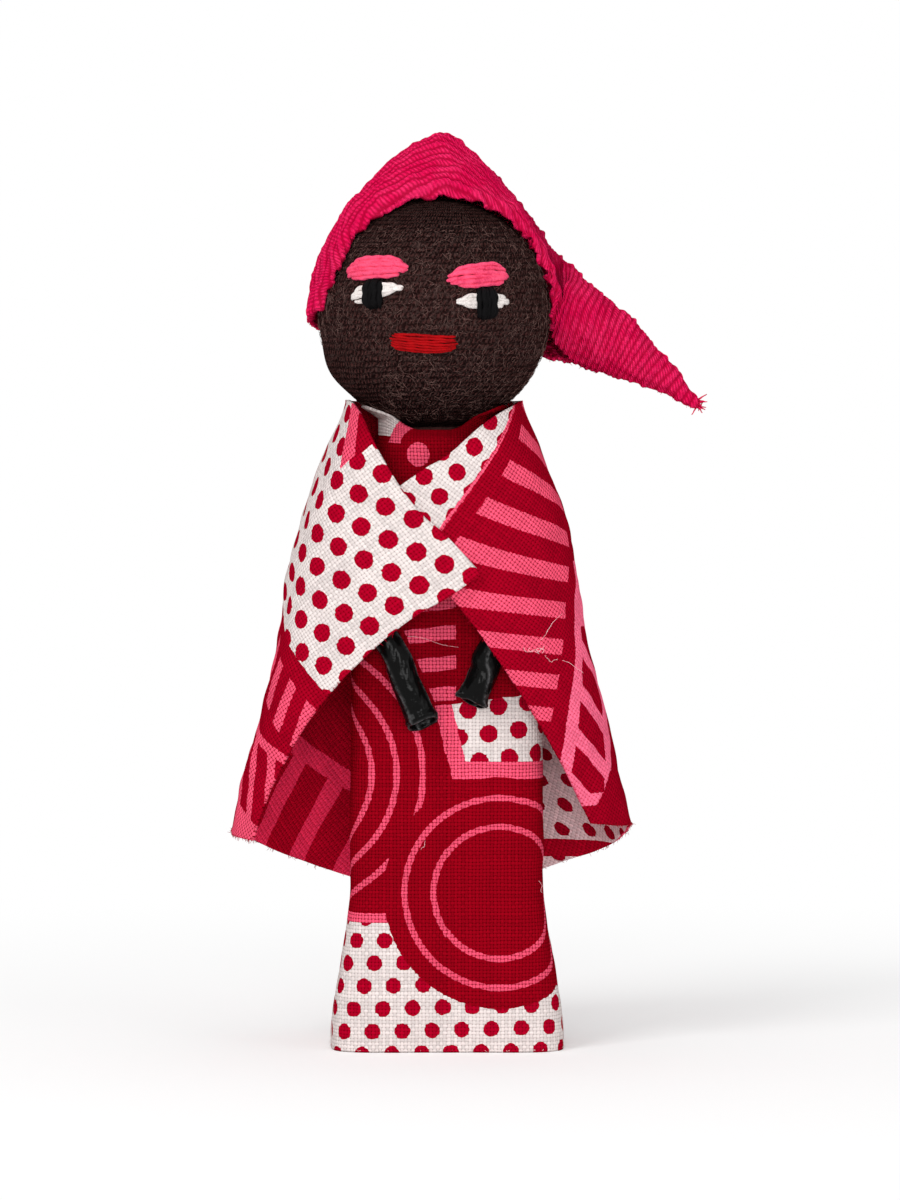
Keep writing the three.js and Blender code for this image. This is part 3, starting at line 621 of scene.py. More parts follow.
# What the other signs and methods of a number are called in the nodes
OPERATIONS = {
    "__add__": "ADD",
    "__radd__": "ADD",
    "__sub__": "SUBTRACT",
    "__mul__": "MULTIPLY",
    "__rmul__": "MULTIPLY",
    "__truediv__": "DIVIDE",
    "__lt__": "LESS_THAN",
    "__gt__": "GREATER_THAN",
    "floor": "FLOOR",
    "size": "ABSOLUTE",
    "cos": "COSINE",
    "root": "SQRT",
    "either": "MAXIMUM",
}
for method, operation in OPERATIONS.items():
    setattr(Num, method, functools.partialmethod(Num.math, operation))


def rgba(colour):
    return (*colour, 1) if isinstance(colour, tuple) else colour


class Paint:
    """A new material with one Principled shader, and the nodes that feed it."""

    def __init__(self, name, roughness, metallic=0.0, specular=0.5):
        self.material = bpy.data.materials.new(name)
        self.material.use_nodes = True
        self.tree = self.material.node_tree
        self.shader = self.tree.nodes["Principled BSDF"]
        self.shader.inputs["Roughness"].default_value = roughness
        self.shader.inputs["Metallic"].default_value = metallic
        self.shader.inputs["Specular IOR Level"].default_value = specular
        self.crown = None  # how far threads stand out, set by weave()

    def node(self, kind, inputs=None, **settings):
        return add_node(self.tree, kind, inputs, **settings)

    def uv(self, label):
        """The two coordinates of a uv map."""
        parts = self.node("SeparateXYZ", {0: self.node("UVMap", uv_map=label).outputs["UV"]})
        return Num(self.tree, parts.outputs["X"]), Num(self.tree, parts.outputs["Y"])

    def value(self, label):
        """A number that the mesh holds for each point."""
        return Num(self.tree, self.node("Attribute", attribute_name=label).outputs["Fac"])

    def noise(self, size, detail=2.0, rough=0.5, stretch=(1, 1, 1)):
        """Noise with bumps of about that size in millimetres."""
        scale = [1 / (size * MM * s) for s in stretch]
        place = self.node("Mapping", {"Vector": self.node("TexCoord").outputs["Object"], "Scale": scale})
        inputs = {"Vector": place.outputs["Vector"], "Scale": 1, "Detail": detail, "Roughness": rough}
        return Num(self.tree, self.node("TexNoise", inputs).outputs["Fac"])

    def chance(self, number):
        """A random number from 0 to 1 for each whole number."""
        node = self.node("TexWhiteNoise", {"W": number}, noise_dimensions="1D")
        return Num(self.tree, node.outputs["Value"])

    def mix(self, a, b, factor):
        """Colour a where factor is 0, and b where it is 1."""
        node = self.node("Mix", {"Factor": factor, 6: rgba(a), 7: rgba(b)}, data_type="RGBA")
        return node.outputs[2]

    def pink(self, colour, factor):
        """Pink printed on the crowns of the threads, over a colour that stays between them."""
        return self.mix(colour, PINK, factor * self.crown)

    def shade(self, colour, factor):
        """The colour times a number."""
        return self.node("VectorMath", {0: colour, "Scale": factor}, operation="SCALE").outputs[0]

    def twice(self, colour):
        """The deeper colour of painted shade in a pin-hole, the colour that light has after meeting the same
        dye twice.
        """
        return self.node("VectorMath", {0: colour, 1: colour}, operation="MULTIPLY").outputs[0]

    def finish(self, colour, height, depth, roughness=None):
        """Sends the colour, the relief (its depth in millimetres) and the roughness to the shader."""
        bump = self.node("Bump", {"Strength": 1, "Distance": depth * MM, "Height": height})
        self.tree.links.new(colour, self.shader.inputs["Base Color"])
        self.tree.links.new(bump.outputs["Normal"], self.shader.inputs["Normal"])
        if roughness is not None:
            self.tree.links.new(roughness.socket, self.shader.inputs["Roughness"])
        return self.material


def turned(x, y, degrees):
    """Coordinates along and across a direction."""
    c = math.cos(math.radians(degrees))
    s = math.sin(math.radians(degrees))
    return x * c + y * s, y * c - x * s


WANDER = 0.16  # how far threads stray, and over what length
WANDER_SIZE = 2.5
LEAST_CROWN = 0.25
THREAD_PULL = 0.25  # how far a print's edge follows the threads
BLEED = 0.12
BLEED_SIZE = 0.5


def weave(paint, x, y):
    """Plain weave along x and y: relief, pin-holes and uneven tone; the paint keeps its crowns."""
    wander = (paint.noise(WANDER_SIZE, 1) - 0.5) * WANDER
    a = (x + wander) / THREAD_PITCH
    b = (y - wander) / THREAD_PITCH
    column = a.floor()
    row = b.floor()
    warp = ((a - column - 0.5) * math.pi).cos()
    weft = ((b - row - 0.5) * math.pi).cos()
    half = (column + row) * 0.5
    over = (half - half.floor()) > 0.25
    relief = over * warp * (0.5 + 0.5 * weft) + (1 - over) * weft * (0.5 + 0.5 * warp)
    hole = 1 - warp.either(weft).step(0.2, 0.6)
    paint.crown = LEAST_CROWN + (1 - LEAST_CROWN) * relief.step(0.05, 0.55)
    tone = over * paint.chance(column) + (1 - over) * paint.chance(row + 0.5)
    return relief, hole, tone


def on_threads(paint, x, y):
    """Coordinates drawn towards the middle of each thread, so that a print ends raggedly."""
    snapped = []
    for value in (x, y):
        middle = ((value / THREAD_PITCH).floor() + 0.5) * THREAD_PITCH
        bleed = (paint.noise(BLEED_SIZE, 1) - 0.5) * BLEED
        snapped.append(value + (middle - value) * THREAD_PULL + bleed)
    return snapped


def spots(x, y, first, tilt, pitch, row, shift, radius):
    """Round dots in tilted rows that are each shifted along from the one before."""
    level, up = turned(x - first[0], y - first[1], tilt)
    line = (up / row).nearest()
    across = up - line * row
    place = (level - line * shift) / pitch
    beside = (place - place.nearest()) * pitch
    return (across * across + beside * beside) < radius * radius


def ring(distance, radius, width):
    return (distance - radius).size() < width / 2


def distance(x, y, centre):
    dx = x - centre[0]
    dy = y - centre[1]
    return (dx * dx + dy * dy).root()


def cloth(paint, print_colour, relief, hole, tone):
    """Finishes a printed cotton: uneven threads, painted shade in the valleys between them, and pin-holes
    painted darker, in the deeper colour of light that met the dye twice.
    """
    blotches = paint.noise(4, 3)
    valley = 1 - relief.step(0, 0.6)
    uneven = (0.86 + 0.22 * tone) * (0.9 + 0.2 * blotches)
    # painted shade in the valleys between threads, over the uneven tone
    lit = paint.shade(print_colour, uneven * (1 - VALLEY_SHADE * valley))
    # painted shade in the pin-holes, in the deeper colour of light that met the dye twice
    deep = paint.shade(paint.twice(print_colour), 1 - HOLE_SHADE * hole)
    return paint.finish(paint.mix(lit, deep, hole), relief, THREAD_RELIEF)


def beyond(x, y, p, q):
    """Distance from the line through p and q, positive on the left of the way from p to q."""
    dx = q[0] - p[0]
    dy = q[1] - p[1]
    length = math.hypot(dx, dy)
    return (y - p[1]) * (dx / length) - (x - p[0]) * (dy / length)


def travelled(x, y, p, q):
    """Distance along the way from p to q."""
    dx = q[0] - p[0]
    dy = q[1] - p[1]
    length = math.hypot(dx, dy)
    return (x - p[0]) * (dx / length) + (y - p[1]) * (dy / length)


def bars(value, pitch, share):
    """1 on bars of a given pitch that take up that share of it."""
    place = value / pitch
    return (place - place.nearest()).size() < share / 2


def inside(value, low, high):
    return (value > low) * (value < high)


# Prints: places and sizes in millimetres on the cloth, from the front's middle and up from the floor
HEM_BAND = 13.0
HEM_LINE = 0.9
RING_LINE = 0.62
RING_INK = 0.85
HEM_DOTS = {"first": (-1.5, 2.26), "tilt": 1.4, "pitch": 2.98, "row": 2.27, "shift": 1.1, "radius": 0.79}
PATCH_DOTS = {"first": (4.18, 31.98), "tilt": 7.2, "pitch": 3.02, "row": 2.63, "shift": 1.28, "radius": 0.9}
PATCH_EDGE = (0.46, 34.9)
PATCH_LEAN = 0.243
PATCH_FOOT = 29.2
PATCH_SIDE = 14
PATCH_BORDER = 1.75
CHEST_SLOPE = 0.12
CHEST_BARS = {"first": (-1.6, 36), "lean": 0.43, "length": 2.5, "pitch": 3.05, "share": 0.46, "top": 46}
NECK_BLOB = (-1.7, 59.9)
BLOB_RADIUS = 1.2
COLLAR_BAR = (-5, -3.4, 61)
COLLAR_LEAN = 0.4
COLLAR_WHITE = 61.7
# Sets of rings: centre, outer radius and the radii of their pink lines
SIDE_RINGS = [
    ((-15.5, 27.9), 14.4, (7.95, 10.45, 13.1)),
    ((23, 40), 12, (4.5, 7.2, 10)),
    ((-30, 50), 11, (4, 6.8, 9.6)),
    ((29, 20), 10.5, (3.6, 6.2, 9)),
]
FRONT_RINGS = ((5.25, 16), 11.6, (6.6, 9.5))


def ring_set(paint, colour, x, y, rings):
    """A round patch of crimson with pink ring lines, printed over a colour."""
    centre, outer, radii = rings
    away = distance(x, y, centre)
    colour = paint.mix(colour, CRIMSON, away < outer)
    for radius in radii:
        colour = paint.pink(colour, ring(away, radius, RING_LINE) * RING_INK)
    return colour


def chest_print(paint, x, y):
    """Crimson with short pink bars that widen upward, and pink blobs at the neck."""
    first = CHEST_BARS["first"]
    rise = y - CHEST_SLOPE * x - first[1]
    reach = x - first[0] + CHEST_BARS["lean"] * (y - first[1])
    within = (reach > 0) * (x < first[0] + CHEST_BARS["length"]) * (y < CHEST_BARS["top"])
    colour = paint.pink(CRIMSON, bars(rise, CHEST_BARS["pitch"], CHEST_BARS["share"]) * within)
    low, high, foot = COLLAR_BAR
    blob = distance(x, y, NECK_BLOB) < BLOB_RADIUS
    beside = x - COLLAR_LEAN * (y - COLLAR_WHITE)
    colour = paint.pink(colour, blob.either(inside(beside, low, high) * (y > foot)))
    return paint.mix(colour, WHITE, (beside < low) * (y > COLLAR_WHITE))


def patch_print(paint, colour, x, y):
    """A white patch with dots and a pink border, on a colour."""
    side = x - PATCH_EDGE[0] + PATCH_LEAN * (y - PATCH_EDGE[1])
    low = (y - CHEST_SLOPE * x < PATCH_EDGE[1]) * (x < PATCH_SIDE)
    border = (side > -PATCH_BORDER) * (y > PATCH_FOOT - PATCH_BORDER) * low
    patch = (side > 0) * (y > PATCH_FOOT) * low
    colour = paint.mix(paint.pink(colour, border), WHITE, patch)
    return paint.mix(colour, DOT_RED, patch * spots(x, y, **PATCH_DOTS))


def dress_paint():
    paint = Paint("dress_print", 0.95, specular=0)
    x, y = paint.uv("print")
    relief, hole, tone = weave(paint, x, y)
    x, y = on_threads(paint, x, y)
    colour = patch_print(paint, chest_print(paint, x, y), x, y)
    for rings in SIDE_RINGS:
        colour = ring_set(paint, colour, x, y, rings)
    colour = paint.pink(colour, y < HEM_BAND + HEM_LINE)
    colour = paint.mix(colour, WHITE, y < HEM_BAND)
    colour = paint.mix(colour, DOT_RED, (y < HEM_BAND) * spots(x, y, **HEM_DOTS))
    colour = ring_set(paint, colour, x, y, FRONT_RINGS)
    return cloth(paint, colour, relief, hole, tone)


# Cape print, in the same way: lines are given by two points
CAPE_THREADS = 53.1  # degrees down from level: the cloth hangs by a corner
FLAP_DOTS = {
    "first": (-6.5, 49.55), "tilt": -25.3, "pitch": 2.85, "row": 2.83, "shift": -1.62, "radius": 0.93,
}
NECK_SLOPE = 0.8
NECK_EDGE = (-9.3, 59.2)
NECK_CORNER = (-7.5, 60.2)
FLAP_BORDER = ((-15.67, 41.23), (-11.39, 37.27))
BORDER_BARS = {"first": 3.31, "lean": 0.38, "pitch": 2.98, "share": 0.45, "from": 1.9, "to": 6.5}
FLAP_FOOT = ((-19.05, 32.16), (-14.88, 29.99))
FOOT_BARS = {"first": -17.7, "pitch": 2.65, "share": 0.62, "from": 0.9, "to": 7.7}
FOOT_HEM = 20.9
STRIP_BORDER = ((8.2, 63.5), (1.05, 53.45))
STRIP_LINE = 0.35
STRIP_DOTS = {"first": (7.74, -1.8), "tilt": 0, "pitch": 2.93, "row": 2.35, "shift": 0.74, "radius": 0.86}
STRIPE_FOOT = 34.26
STRIPE_PITCH = 3.2
STRIPE_GROWTH = 0.105
STRIPE_SHARE = 0.43
STRIPE_MIDDLE = 10
STRIPE_SLOPE = 0.13  # the least, low down
STRIPE_STEEPER = 0.028  # added for each millimetre above the level
STRIPE_LEVEL = 41
STRIPE_START = 2.1
BAND_LEVEL = 40
BAND_LEAN = 0.235
STRIPE_END = 13.4
BAND_EDGES = (15.3, 23.5)
BAND_LEVELS = (24.8, 49)
BAND_POINT = 6  # height over which the band narrows to its foot
BAND_TAPER = 0.5
CELLS = {"first": 34.8, "pitch": 3.75, "share": 0.62}
CELL_EDGES = (16.8, 21.2)
CELL_LEVELS = (26, 42.5)
BACK_START = 25
BACK_STRIP = 0.022
BACK_BARS = {"pitch": 5.2, "share": 0.36}
LINING_LINE = (-34.3, 29.6)
LINING_SLOPE = 0.46
LINING_BARS = {"first": (-36.2, 24), "lean": 0.06, "pitch": 6.2, "share": 0.63, "below": 1.7}
LINING_BAND = (cape_hem_z + 3.6, cape_hem_z + 5.4)
LINING_DOTS = {"first": (0, 0), "tilt": 0, "pitch": 2.9, "row": 2.6, "shift": 1.2, "radius": 0.72}
BACK_RINGS = [((-31.5, 47), 9.5, (2.6, 5, 7.4)), ((-31, 27), 9, (3.2, 5.6, 8.2))]


def cape_coordinates(paint):
    """The cape's print coordinates from the front both ways, its height and its share of the way round."""
    right_x, y = paint.uv("right")
    left_x, _ = paint.uv("left")
    across = paint.value("across")
    return right_x, left_x, y, across


def neck_patch(x, y, place):
    """1 above a slanted line through a place at the neck and to that place's left on the doll."""
    rise = y - place[1] - NECK_SLOPE * (x - place[0] - 1)
    return (rise > 0) * (x > place[0])


def right_flap(paint, x, y):
    """White with dots; below it crimson with pink bars, then pink with crimson bars."""
    colour = paint.mix(WHITE, DOT_RED, spots(x, y, **FLAP_DOTS))
    edge = neck_patch(x, y, NECK_EDGE)
    colour = paint.pink(paint.mix(colour, CAPE_RED, edge), edge)
    colour = paint.mix(colour, CAPE_RED, neck_patch(x, y, NECK_CORNER))
    depth = -1 * beyond(x, y, *FLAP_BORDER)
    colour = paint.mix(colour, CAPE_RED, depth > 0)
    way = travelled(x, y, *FLAP_BORDER) - BORDER_BARS["lean"] * depth - BORDER_BARS["first"]
    bar = bars(way, BORDER_BARS["pitch"], BORDER_BARS["share"])
    colour = paint.pink(colour, bar * inside(depth, BORDER_BARS["from"], BORDER_BARS["to"]))
    foot = -1 * beyond(x, y, *FLAP_FOOT)
    colour = paint.pink(colour, foot > 0)
    bar = bars(x - FOOT_BARS["first"], FOOT_BARS["pitch"], FOOT_BARS["share"])
    colour = paint.mix(colour, CAPE_RED, bar * inside(foot, FOOT_BARS["from"], FOOT_BARS["to"]))
    colour = paint.mix(colour, CAPE_RED, (y < FOOT_HEM).either(x < -BACK_START))
    for rings in BACK_RINGS:
        colour = ring_set(paint, colour, x, y, rings)
    return colour


def stripes(x, y):
    """Curved stripes that get further apart upward."""
    steep = ((y - STRIPE_LEVEL) * STRIPE_STEEPER).either(STRIPE_SLOPE)
    rise = (y + (x - STRIPE_MIDDLE) * steep - STRIPE_FOOT).either(-STRIPE_PITCH)
    half = STRIPE_PITCH / (2 * STRIPE_GROWTH)
    count = (rise / STRIPE_GROWTH + half ** 2).root() - half
    return bars(count, 1, STRIPE_SHARE) * (rise > -STRIPE_PITCH / 2)


def left_flap(paint, x, y):
    """A white strip with dots along the neck, then crimson with pink stripes and a pink lattice."""
    depth = beyond(x, y, *STRIP_BORDER)
    way = travelled(x, y, *STRIP_BORDER)
    edge = x - BAND_LEAN * (y - BAND_LEVEL)
    colour = paint.pink(CAPE_RED, stripes(x, y) * (depth > STRIPE_START) * (edge < STRIPE_END))
    narrowing = (BAND_LEVELS[0] + BAND_POINT - y).either(0) * BAND_TAPER
    band = (edge > BAND_EDGES[0]) * (edge + narrowing < BAND_EDGES[1]) * inside(y, *BAND_LEVELS)
    colour = paint.mix(colour, BAND_PINK, band)
    lattice = bars((x + y) / math.sqrt(2) - CELLS["first"], CELLS["pitch"], CELLS["share"])
    cell = lattice * inside(edge, *CELL_EDGES) * inside(y, *CELL_LEVELS)
    colour = paint.mix(colour, CAPE_RED, cell)
    colour = paint.pink(colour, (x > BACK_START) * bars(y, **BACK_BARS))
    colour = paint.pink(colour, depth < STRIP_LINE)
    white = depth < 0
    colour = paint.mix(colour, WHITE, white)
    return paint.mix(colour, DOT_RED, white * spots(way, depth, **STRIP_DOTS))


def cape_paint():
    paint = Paint("cape_print", 0.95, specular=0)
    right_x, left_x, y, across = cape_coordinates(paint)
    side = across > 0.5
    x = right_x + (left_x - right_x) * side
    flip = 1 - 2 * side
    relief, hole, tone = weave(paint, *turned(x * flip, y, -CAPE_THREADS))
    ragged = []
    for value in (right_x, left_x):
        threads = on_threads(paint, *turned(value, y, -CAPE_THREADS))
        ragged.append(turned(*threads, CAPE_THREADS))
    colour = paint.mix(right_flap(paint, *ragged[0]), left_flap(paint, *ragged[1]), side)
    colour = paint.mix(colour, CAPE_RED, (across - 0.5).size() < BACK_STRIP)
    return cloth(paint, colour, relief, hole, tone)


def lining_paint():
    """The print's back: slanted bars on the doll's right half, dots on its left half, in colours painted
    lighter for the light that shines through the cloth.
    """
    paint = Paint("cape_print_inside", 0.95, specular=0)
    right_x, left_x, y, across = cape_coordinates(paint)
    side = across > 0.5
    x = right_x + (left_x - right_x) * side
    relief, hole, tone = weave(paint, *turned(x, y, -CAPE_THREADS))
    x, y = on_threads(paint, x, y)
    rise = y - LINING_LINE[1] - LINING_SLOPE * (x - LINING_LINE[0])
    first = LINING_BARS["first"]
    place = x - first[0] + LINING_BARS["lean"] * (y - first[1])
    bar = bars(place, LINING_BARS["pitch"], LINING_BARS["share"])
    between = (rise < 0) * (1 - bar * (rise < -LINING_BARS["below"]))
    barred = paint.mix(LINING_RED, LINING_PINK, between)
    dotted = paint.mix(LINING_WHITE, DOT_RED, spots(x, y, **LINING_DOTS))
    dotted = paint.mix(dotted, LINING_RED, inside(y, *LINING_BAND))
    return cloth(paint, paint.mix(barred, dotted, side), relief, hole, tone)


KNIT_WANDER = 1.9  # how far the loops stray from their rows
KNIT_SIZE = 0.8
KNIT_SLANT = 0.7
CURL_WIDTH = (0.008, 0.035)  # half-width of the fibres in the noise, and where they fade
KNIT_RELIEF = 0.2


def knit_paint():
    """Stocking knit: rows of slanted loops with painted shade between them, under a tangle of fine curled
    fibre.
    """
    paint = Paint("head_knit", 1.0, specular=0)
    wale, course = paint.uv("knit")
    wander = (paint.noise(KNIT_SIZE, 3, 0.7) - 0.5) * KNIT_WANDER
    row = course + wander * 0.55
    ridge = ((row - row.floor() - 0.5) * math.pi).cos()
    loop = wale + wander + KNIT_SLANT * row
    leg = (loop * (2 * math.pi)).cos()
    relief = ridge * (0.5 + 0.5 * leg)
    low = ((course - EYE_COURSE) * (1 / EYE_COURSE)).size().step(0.05, 0.75)
    gap = (1 - relief.step(0.15, 0.75)) * (0.85 + 0.15 * low)
    tangle = 0
    for size in CURL_SIZES:
        tangle = tangle + (1 - (paint.noise(size, 1) - 0.5).size().step(*CURL_WIDTH))
    # painted shade between the rows of loops, a little stronger away from the middle of the face
    colour = paint.mix(BROWN, BROWN_SHADE, gap)
    colour = paint.mix(colour, FUZZ_BROWN, tangle * (0.3 - 0.08 * low))
    return paint.finish(colour, relief + tangle * 0.2, KNIT_RELIEF)


LOOP_SHIFT = 0.5  # each rib's loops start at their own place
LOOP_LEAN = 0.3
LOOP_STRAY = 0.8
LOOP_STRAY_SIZE = 1.2


def hood_paint():
    """Rib knit: a row of small loops across each rib, every other rib lower, with painted shade of deep red
    between.
    """
    paint = Paint("hat_knit", 1.0, specular=0)
    loop, rib = paint.uv("rib")
    line = rib.nearest()
    crest = ((rib - line) * math.pi).cos()
    stray_loops = (paint.noise(LOOP_STRAY_SIZE, 2) - 0.5) * LOOP_STRAY
    turn = loop + LOOP_SHIFT * paint.chance(line) + LOOP_LEAN * (rib - line) + stray_loops
    bead = 0.5 + 0.5 * (turn * (2 * math.pi)).cos()
    half = line * 0.5
    low = (half - half.floor()) > 0.25
    relief = crest * (0.3 + 0.7 * bead) * (1 - LOW_RIB * low)
    gap = 1 - relief.step(0.05, 0.55)
    blotches = paint.noise(0.5, 3) * 0.5 + paint.noise(3, 2) * 0.5
    colour = paint.mix(HOOD, HOOD_LIGHT, blotches.step(0.4, 0.62))
    # painted shade of deep red in the gaps between ribs and loops
    colour = paint.mix(colour, HOOD_SHADE, gap * 0.8)
    return paint.finish(colour, relief, KNIT_RELIEF)


GRAIN_SIZE = 0.16
TONE_SIZE = 1.2
GRAIN_DEPTH = 0.03
STREAK_DEPTH = 0.04


def thread_paint(name, colour, shade, roughness=0.75):
    """Stranded thread: a fine dark grain and slow changes of tone."""
    paint = Paint(name, roughness, specular=0.06)
    grain = paint.noise(GRAIN_SIZE, 3, 0.6)
    tone = paint.noise(TONE_SIZE, 2)
    mixed = paint.mix(shade, colour, (grain * 0.7 + tone * 0.5).step(0.32, 0.72))
    return paint.finish(mixed, grain, GRAIN_DEPTH)


FILM_GLOSS = 0.12
FILM_SCUFF = 0.25
FILM_DENTS = 0.5


def film_paint():
    """Glossy black film with soft dents and rougher scuffs, and a painted highlight of pale grey in blotches
    along its creases and at its open end.
    """
    paint = Paint("arm_plastic", FILM_GLOSS, specular=0.07)
    dents = paint.noise(2, 2, 0.5, stretch=(0.7, 1, 1.6))
    scuff = paint.noise(0.5, 4, 0.7)
    crinkle = paint.noise(0.5, 3, 0.6, stretch=(1, 1, 0.4))
    # painted highlight: pale grey in blotches along the creases and the open end
    blotches = paint.value("fold") * scuff.step(0.34, 0.66)
    colour = paint.mix(FILM_BLACK, FILM_HIGHLIGHT_GREY, blotches)
    roughness = FILM_GLOSS + FILM_SCUFF * scuff.step(0.62, 0.8)
    return paint.finish(colour, dents + 0.05 * crinkle, FILM_DENTS, roughness)


def grain_paint(name, colour, shade, size, stretch, roughness, metallic=0.0):
    """A plain material with a streaky grain."""
    paint = Paint(name, roughness, metallic=metallic)
    grain = paint.noise(size, 4, 0.6, stretch)
    return paint.finish(paint.mix(shade, colour, grain.step(0.25, 0.75)), grain, STREAK_DEPTH)


def darker(colour, share=0.55):
    return tuple(share * c for c in colour)


PAINT = {
    "dress": dress_paint(),
    "cape": cape_paint(),
    "lining": lining_paint(),
    "knit": knit_paint(),
    "hood": hood_paint(),
    "hood_fibre": thread_paint("hat_fibre", HOOD, HOOD_SHADE, 0.9),
    "fuzz": thread_paint("head_fuzz", HAIR_BROWN, FUZZ_BROWN, 0.9),
    "binding": thread_paint("binding_thread", BROWN, BROWN_SHADE, 0.9),
    "pink": thread_paint("pink_floss", LID_PINK, LID_SHADE),
    "white": thread_paint("white_floss", FLOSS_WHITE, FLOSS_GREY),
    "black": thread_paint("black_floss", FLOSS_BLACK, BLACK_SHADE),
    "red": thread_paint("red_floss", MOUTH_RED, MOUTH_SHADE, 0.6),
    "lint": thread_paint("lint", LINING_WHITE, PINK, 0.9),
    "red_fibre": thread_paint("cut_threads", DOT_RED, CRIMSON, 0.9),
    "white_fibre": thread_paint("pale_threads", WHITE, FLOSS_GREY, 0.9),
    "film": film_paint(),
    "card": grain_paint("card", CARD_BROWN, darker(CARD_BROWN), 0.5, (1, 1, 1), 0.9),
    "wood": grain_paint("dowel_wood", STICK_WOOD, darker(STICK_WOOD), 0.5, (1, 1, 12), 0.7),
    "steel": grain_paint("wire", STEEL, darker(STEEL), 0.3, (6, 1, 1), 0.35, metallic=1.0),
    "wadding": grain_paint("stuffing", WADDING, darker(WADDING, 0.8), 0.6, (1, 1, 1), 1.0),
}


def wear(obj, slot, *paints):
    """Gives a piece its materials; the slot is not used."""
    for paint in paints:
        obj.data.materials.append(PAINT[paint])
    return obj


def thicken(obj, thickness, inside_slot=0):
    """Gives a sheet its thickness, inward from the modelled side."""
    modifier = obj.modifiers.new("thickness", "SOLIDIFY")
    modifier.thickness = thickness * MM
    modifier.offset = -1
    modifier.material_offset = inside_slot
    modifier.use_even_offset = False


# Card, stick and wire stay as they are in the model
PLAIN_PIECES = {"base_card": "card", "core_tube": "card", "neck_dowel": "wood", "arm_wire": "steel"}
for node, paint in PLAIN_PIECES.items():
    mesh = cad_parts[node].data
    mesh.materials.clear()
    mesh.materials.append(PAINT[paint])

rng = np.random.default_rng(7)

# Dress
lap_share = LAP_ANGLE / (360 + LAP_ANGLE)
DRESS_COLUMNS = 280
DRESS_LINES = 170
DRESS_FAN = 1601  # angles measured round each row; the middle one is the front
DRESS_WRINKLES = [(0.09, 11, 3), (0.05, 4, 4)]  # depth, size and seed of each layer
DRESS_SINK = 0.06
HEM_CLEAR = 0.02


def dress_grid():
    """Points of the dress's outer side and their print coordinates, evenly spaced round each row."""
    points = []
    print_at = []
    for z in np.linspace(dress_top + COLLAR_RISE, 0, DRESS_LINES):
        half_width, depth, exponent = (float(value) for value in dress_sizes(z))
        fan = dense_angles(180 + LAP_ANGLE / 2, -180 - LAP_ANGLE / 2, DRESS_FAN)
        travel = oval_travel((half_width, depth, depth, exponent), fan)
        even = np.linspace(0, travel[-1], DRESS_COLUMNS)
        degrees = np.interp(even, travel, fan)
        u = np.linspace(0, 1, DRESS_COLUMNS)
        lift = lap_lift * smoothstep(u, 1 - 2 * lap_share, 1 - lap_share)
        height = z - np.maximum(z - dress_top, 0) * (1 - collar_share(degrees))
        points.append(off_dress(degrees, height, lift + collar_lift(height)))
        print_at.append(np.stack([travel[DRESS_FAN // 2] - even, np.full(DRESS_COLUMNS, z)], axis=-1))
    return np.array(points), np.array(print_at)


dress_points, dress_print_at = dress_grid()
wrinkle = wrinkles(dress_points, DRESS_WRINKLES) - DRESS_SINK
dress_points = dress_points + normals_of(dress_points) * wrinkle[..., None]
dress_points[..., 2] = np.maximum(dress_points[..., 2], HEM_CLEAR)
dress = add_sheet("dress_cloth", dress_points, {"print": dress_print_at})
wear(dress, "dress_print", "dress")
thicken(dress, COTTON)
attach(dress, "body")
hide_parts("dress")

# Cape
CAPE_COLUMNS_SHOWN = 340
CAPE_LINES = 142
CAPE_LEVELS = 60  # heights at which the way round the cape is measured
CAPE_WRINKLES = [(0.16, 9, 5), (0.06, 3.5, 6)]
CAPE_SINK = 0.05
SMOOTH_NECK = 0.25  # share of the way down over which the wrinkles begin
u, v = np.meshgrid(np.linspace(0, 1, CAPE_COLUMNS_SHOWN), np.linspace(0, 1, CAPE_LINES))
cape_points, cape_degrees, cape_z = cape_side(u, v)
fan = dense_angles(-450, 90, 1201)
levels = np.linspace(cape_z.min(), cape_z.max(), CAPE_LEVELS)
level_arcs = np.array([cape_arc(fan, z) for z in levels])
level_rounds = np.array([cape_arc(360.0, z) for z in levels])


def arc_at(degrees, z):
    """Length round the cape at an angle and a height, between the measured levels."""
    place = np.clip((z - levels[0]) / (levels[1] - levels[0]), 0, len(levels) - 1.001)
    low = place.astype(int)
    share = place - low
    total = np.zeros_like(z)
    for k in range(len(levels)):
        weight = (low == k) * (1 - share) + (low + 1 == k) * share
        total += weight * np.interp(degrees, fan, level_arcs[k])
    return total


right_arc = arc_at(cape_degrees, cape_z)
left_arc = right_arc + np.interp(cape_z, levels, level_rounds)
cape_out = normals_of(cape_points)
crumple = wrinkles(cape_points, CAPE_WRINKLES) * smoothstep(v, 0, SMOOTH_NECK)
cape_points = cape_points + cape_out * (CLOTH - CAPE_SINK + crumple)[..., None]
cape = add_sheet(
    "cape_cloth",
    cape_points,
    {"right": np.stack([right_arc, cape_z], axis=-1), "left": np.stack([left_arc, cape_z], axis=-1)},
    {"across": u},
)
wear(cape, "cape_print", "cape", "lining")
thicken(cape, COTTON, 1)
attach(cape, "body")
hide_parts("cape")

# Fringes of cut threads
FRINGE_RADIUS = 0.035
FRINGE_POINTS = 5
FRINGE_SPREAD = 0.5
FRINGE_CURL = 0.25
FRINGE_LENGTHS = (0.4, 1.2)  # shares of the usual length
FRINGE_ROOT = 0.1  # threads start this far inside the edge
HEM_FRINGE_RISE = 0.2
EDGE_STEP = 6  # rows or columns back from an edge that show which way it faces


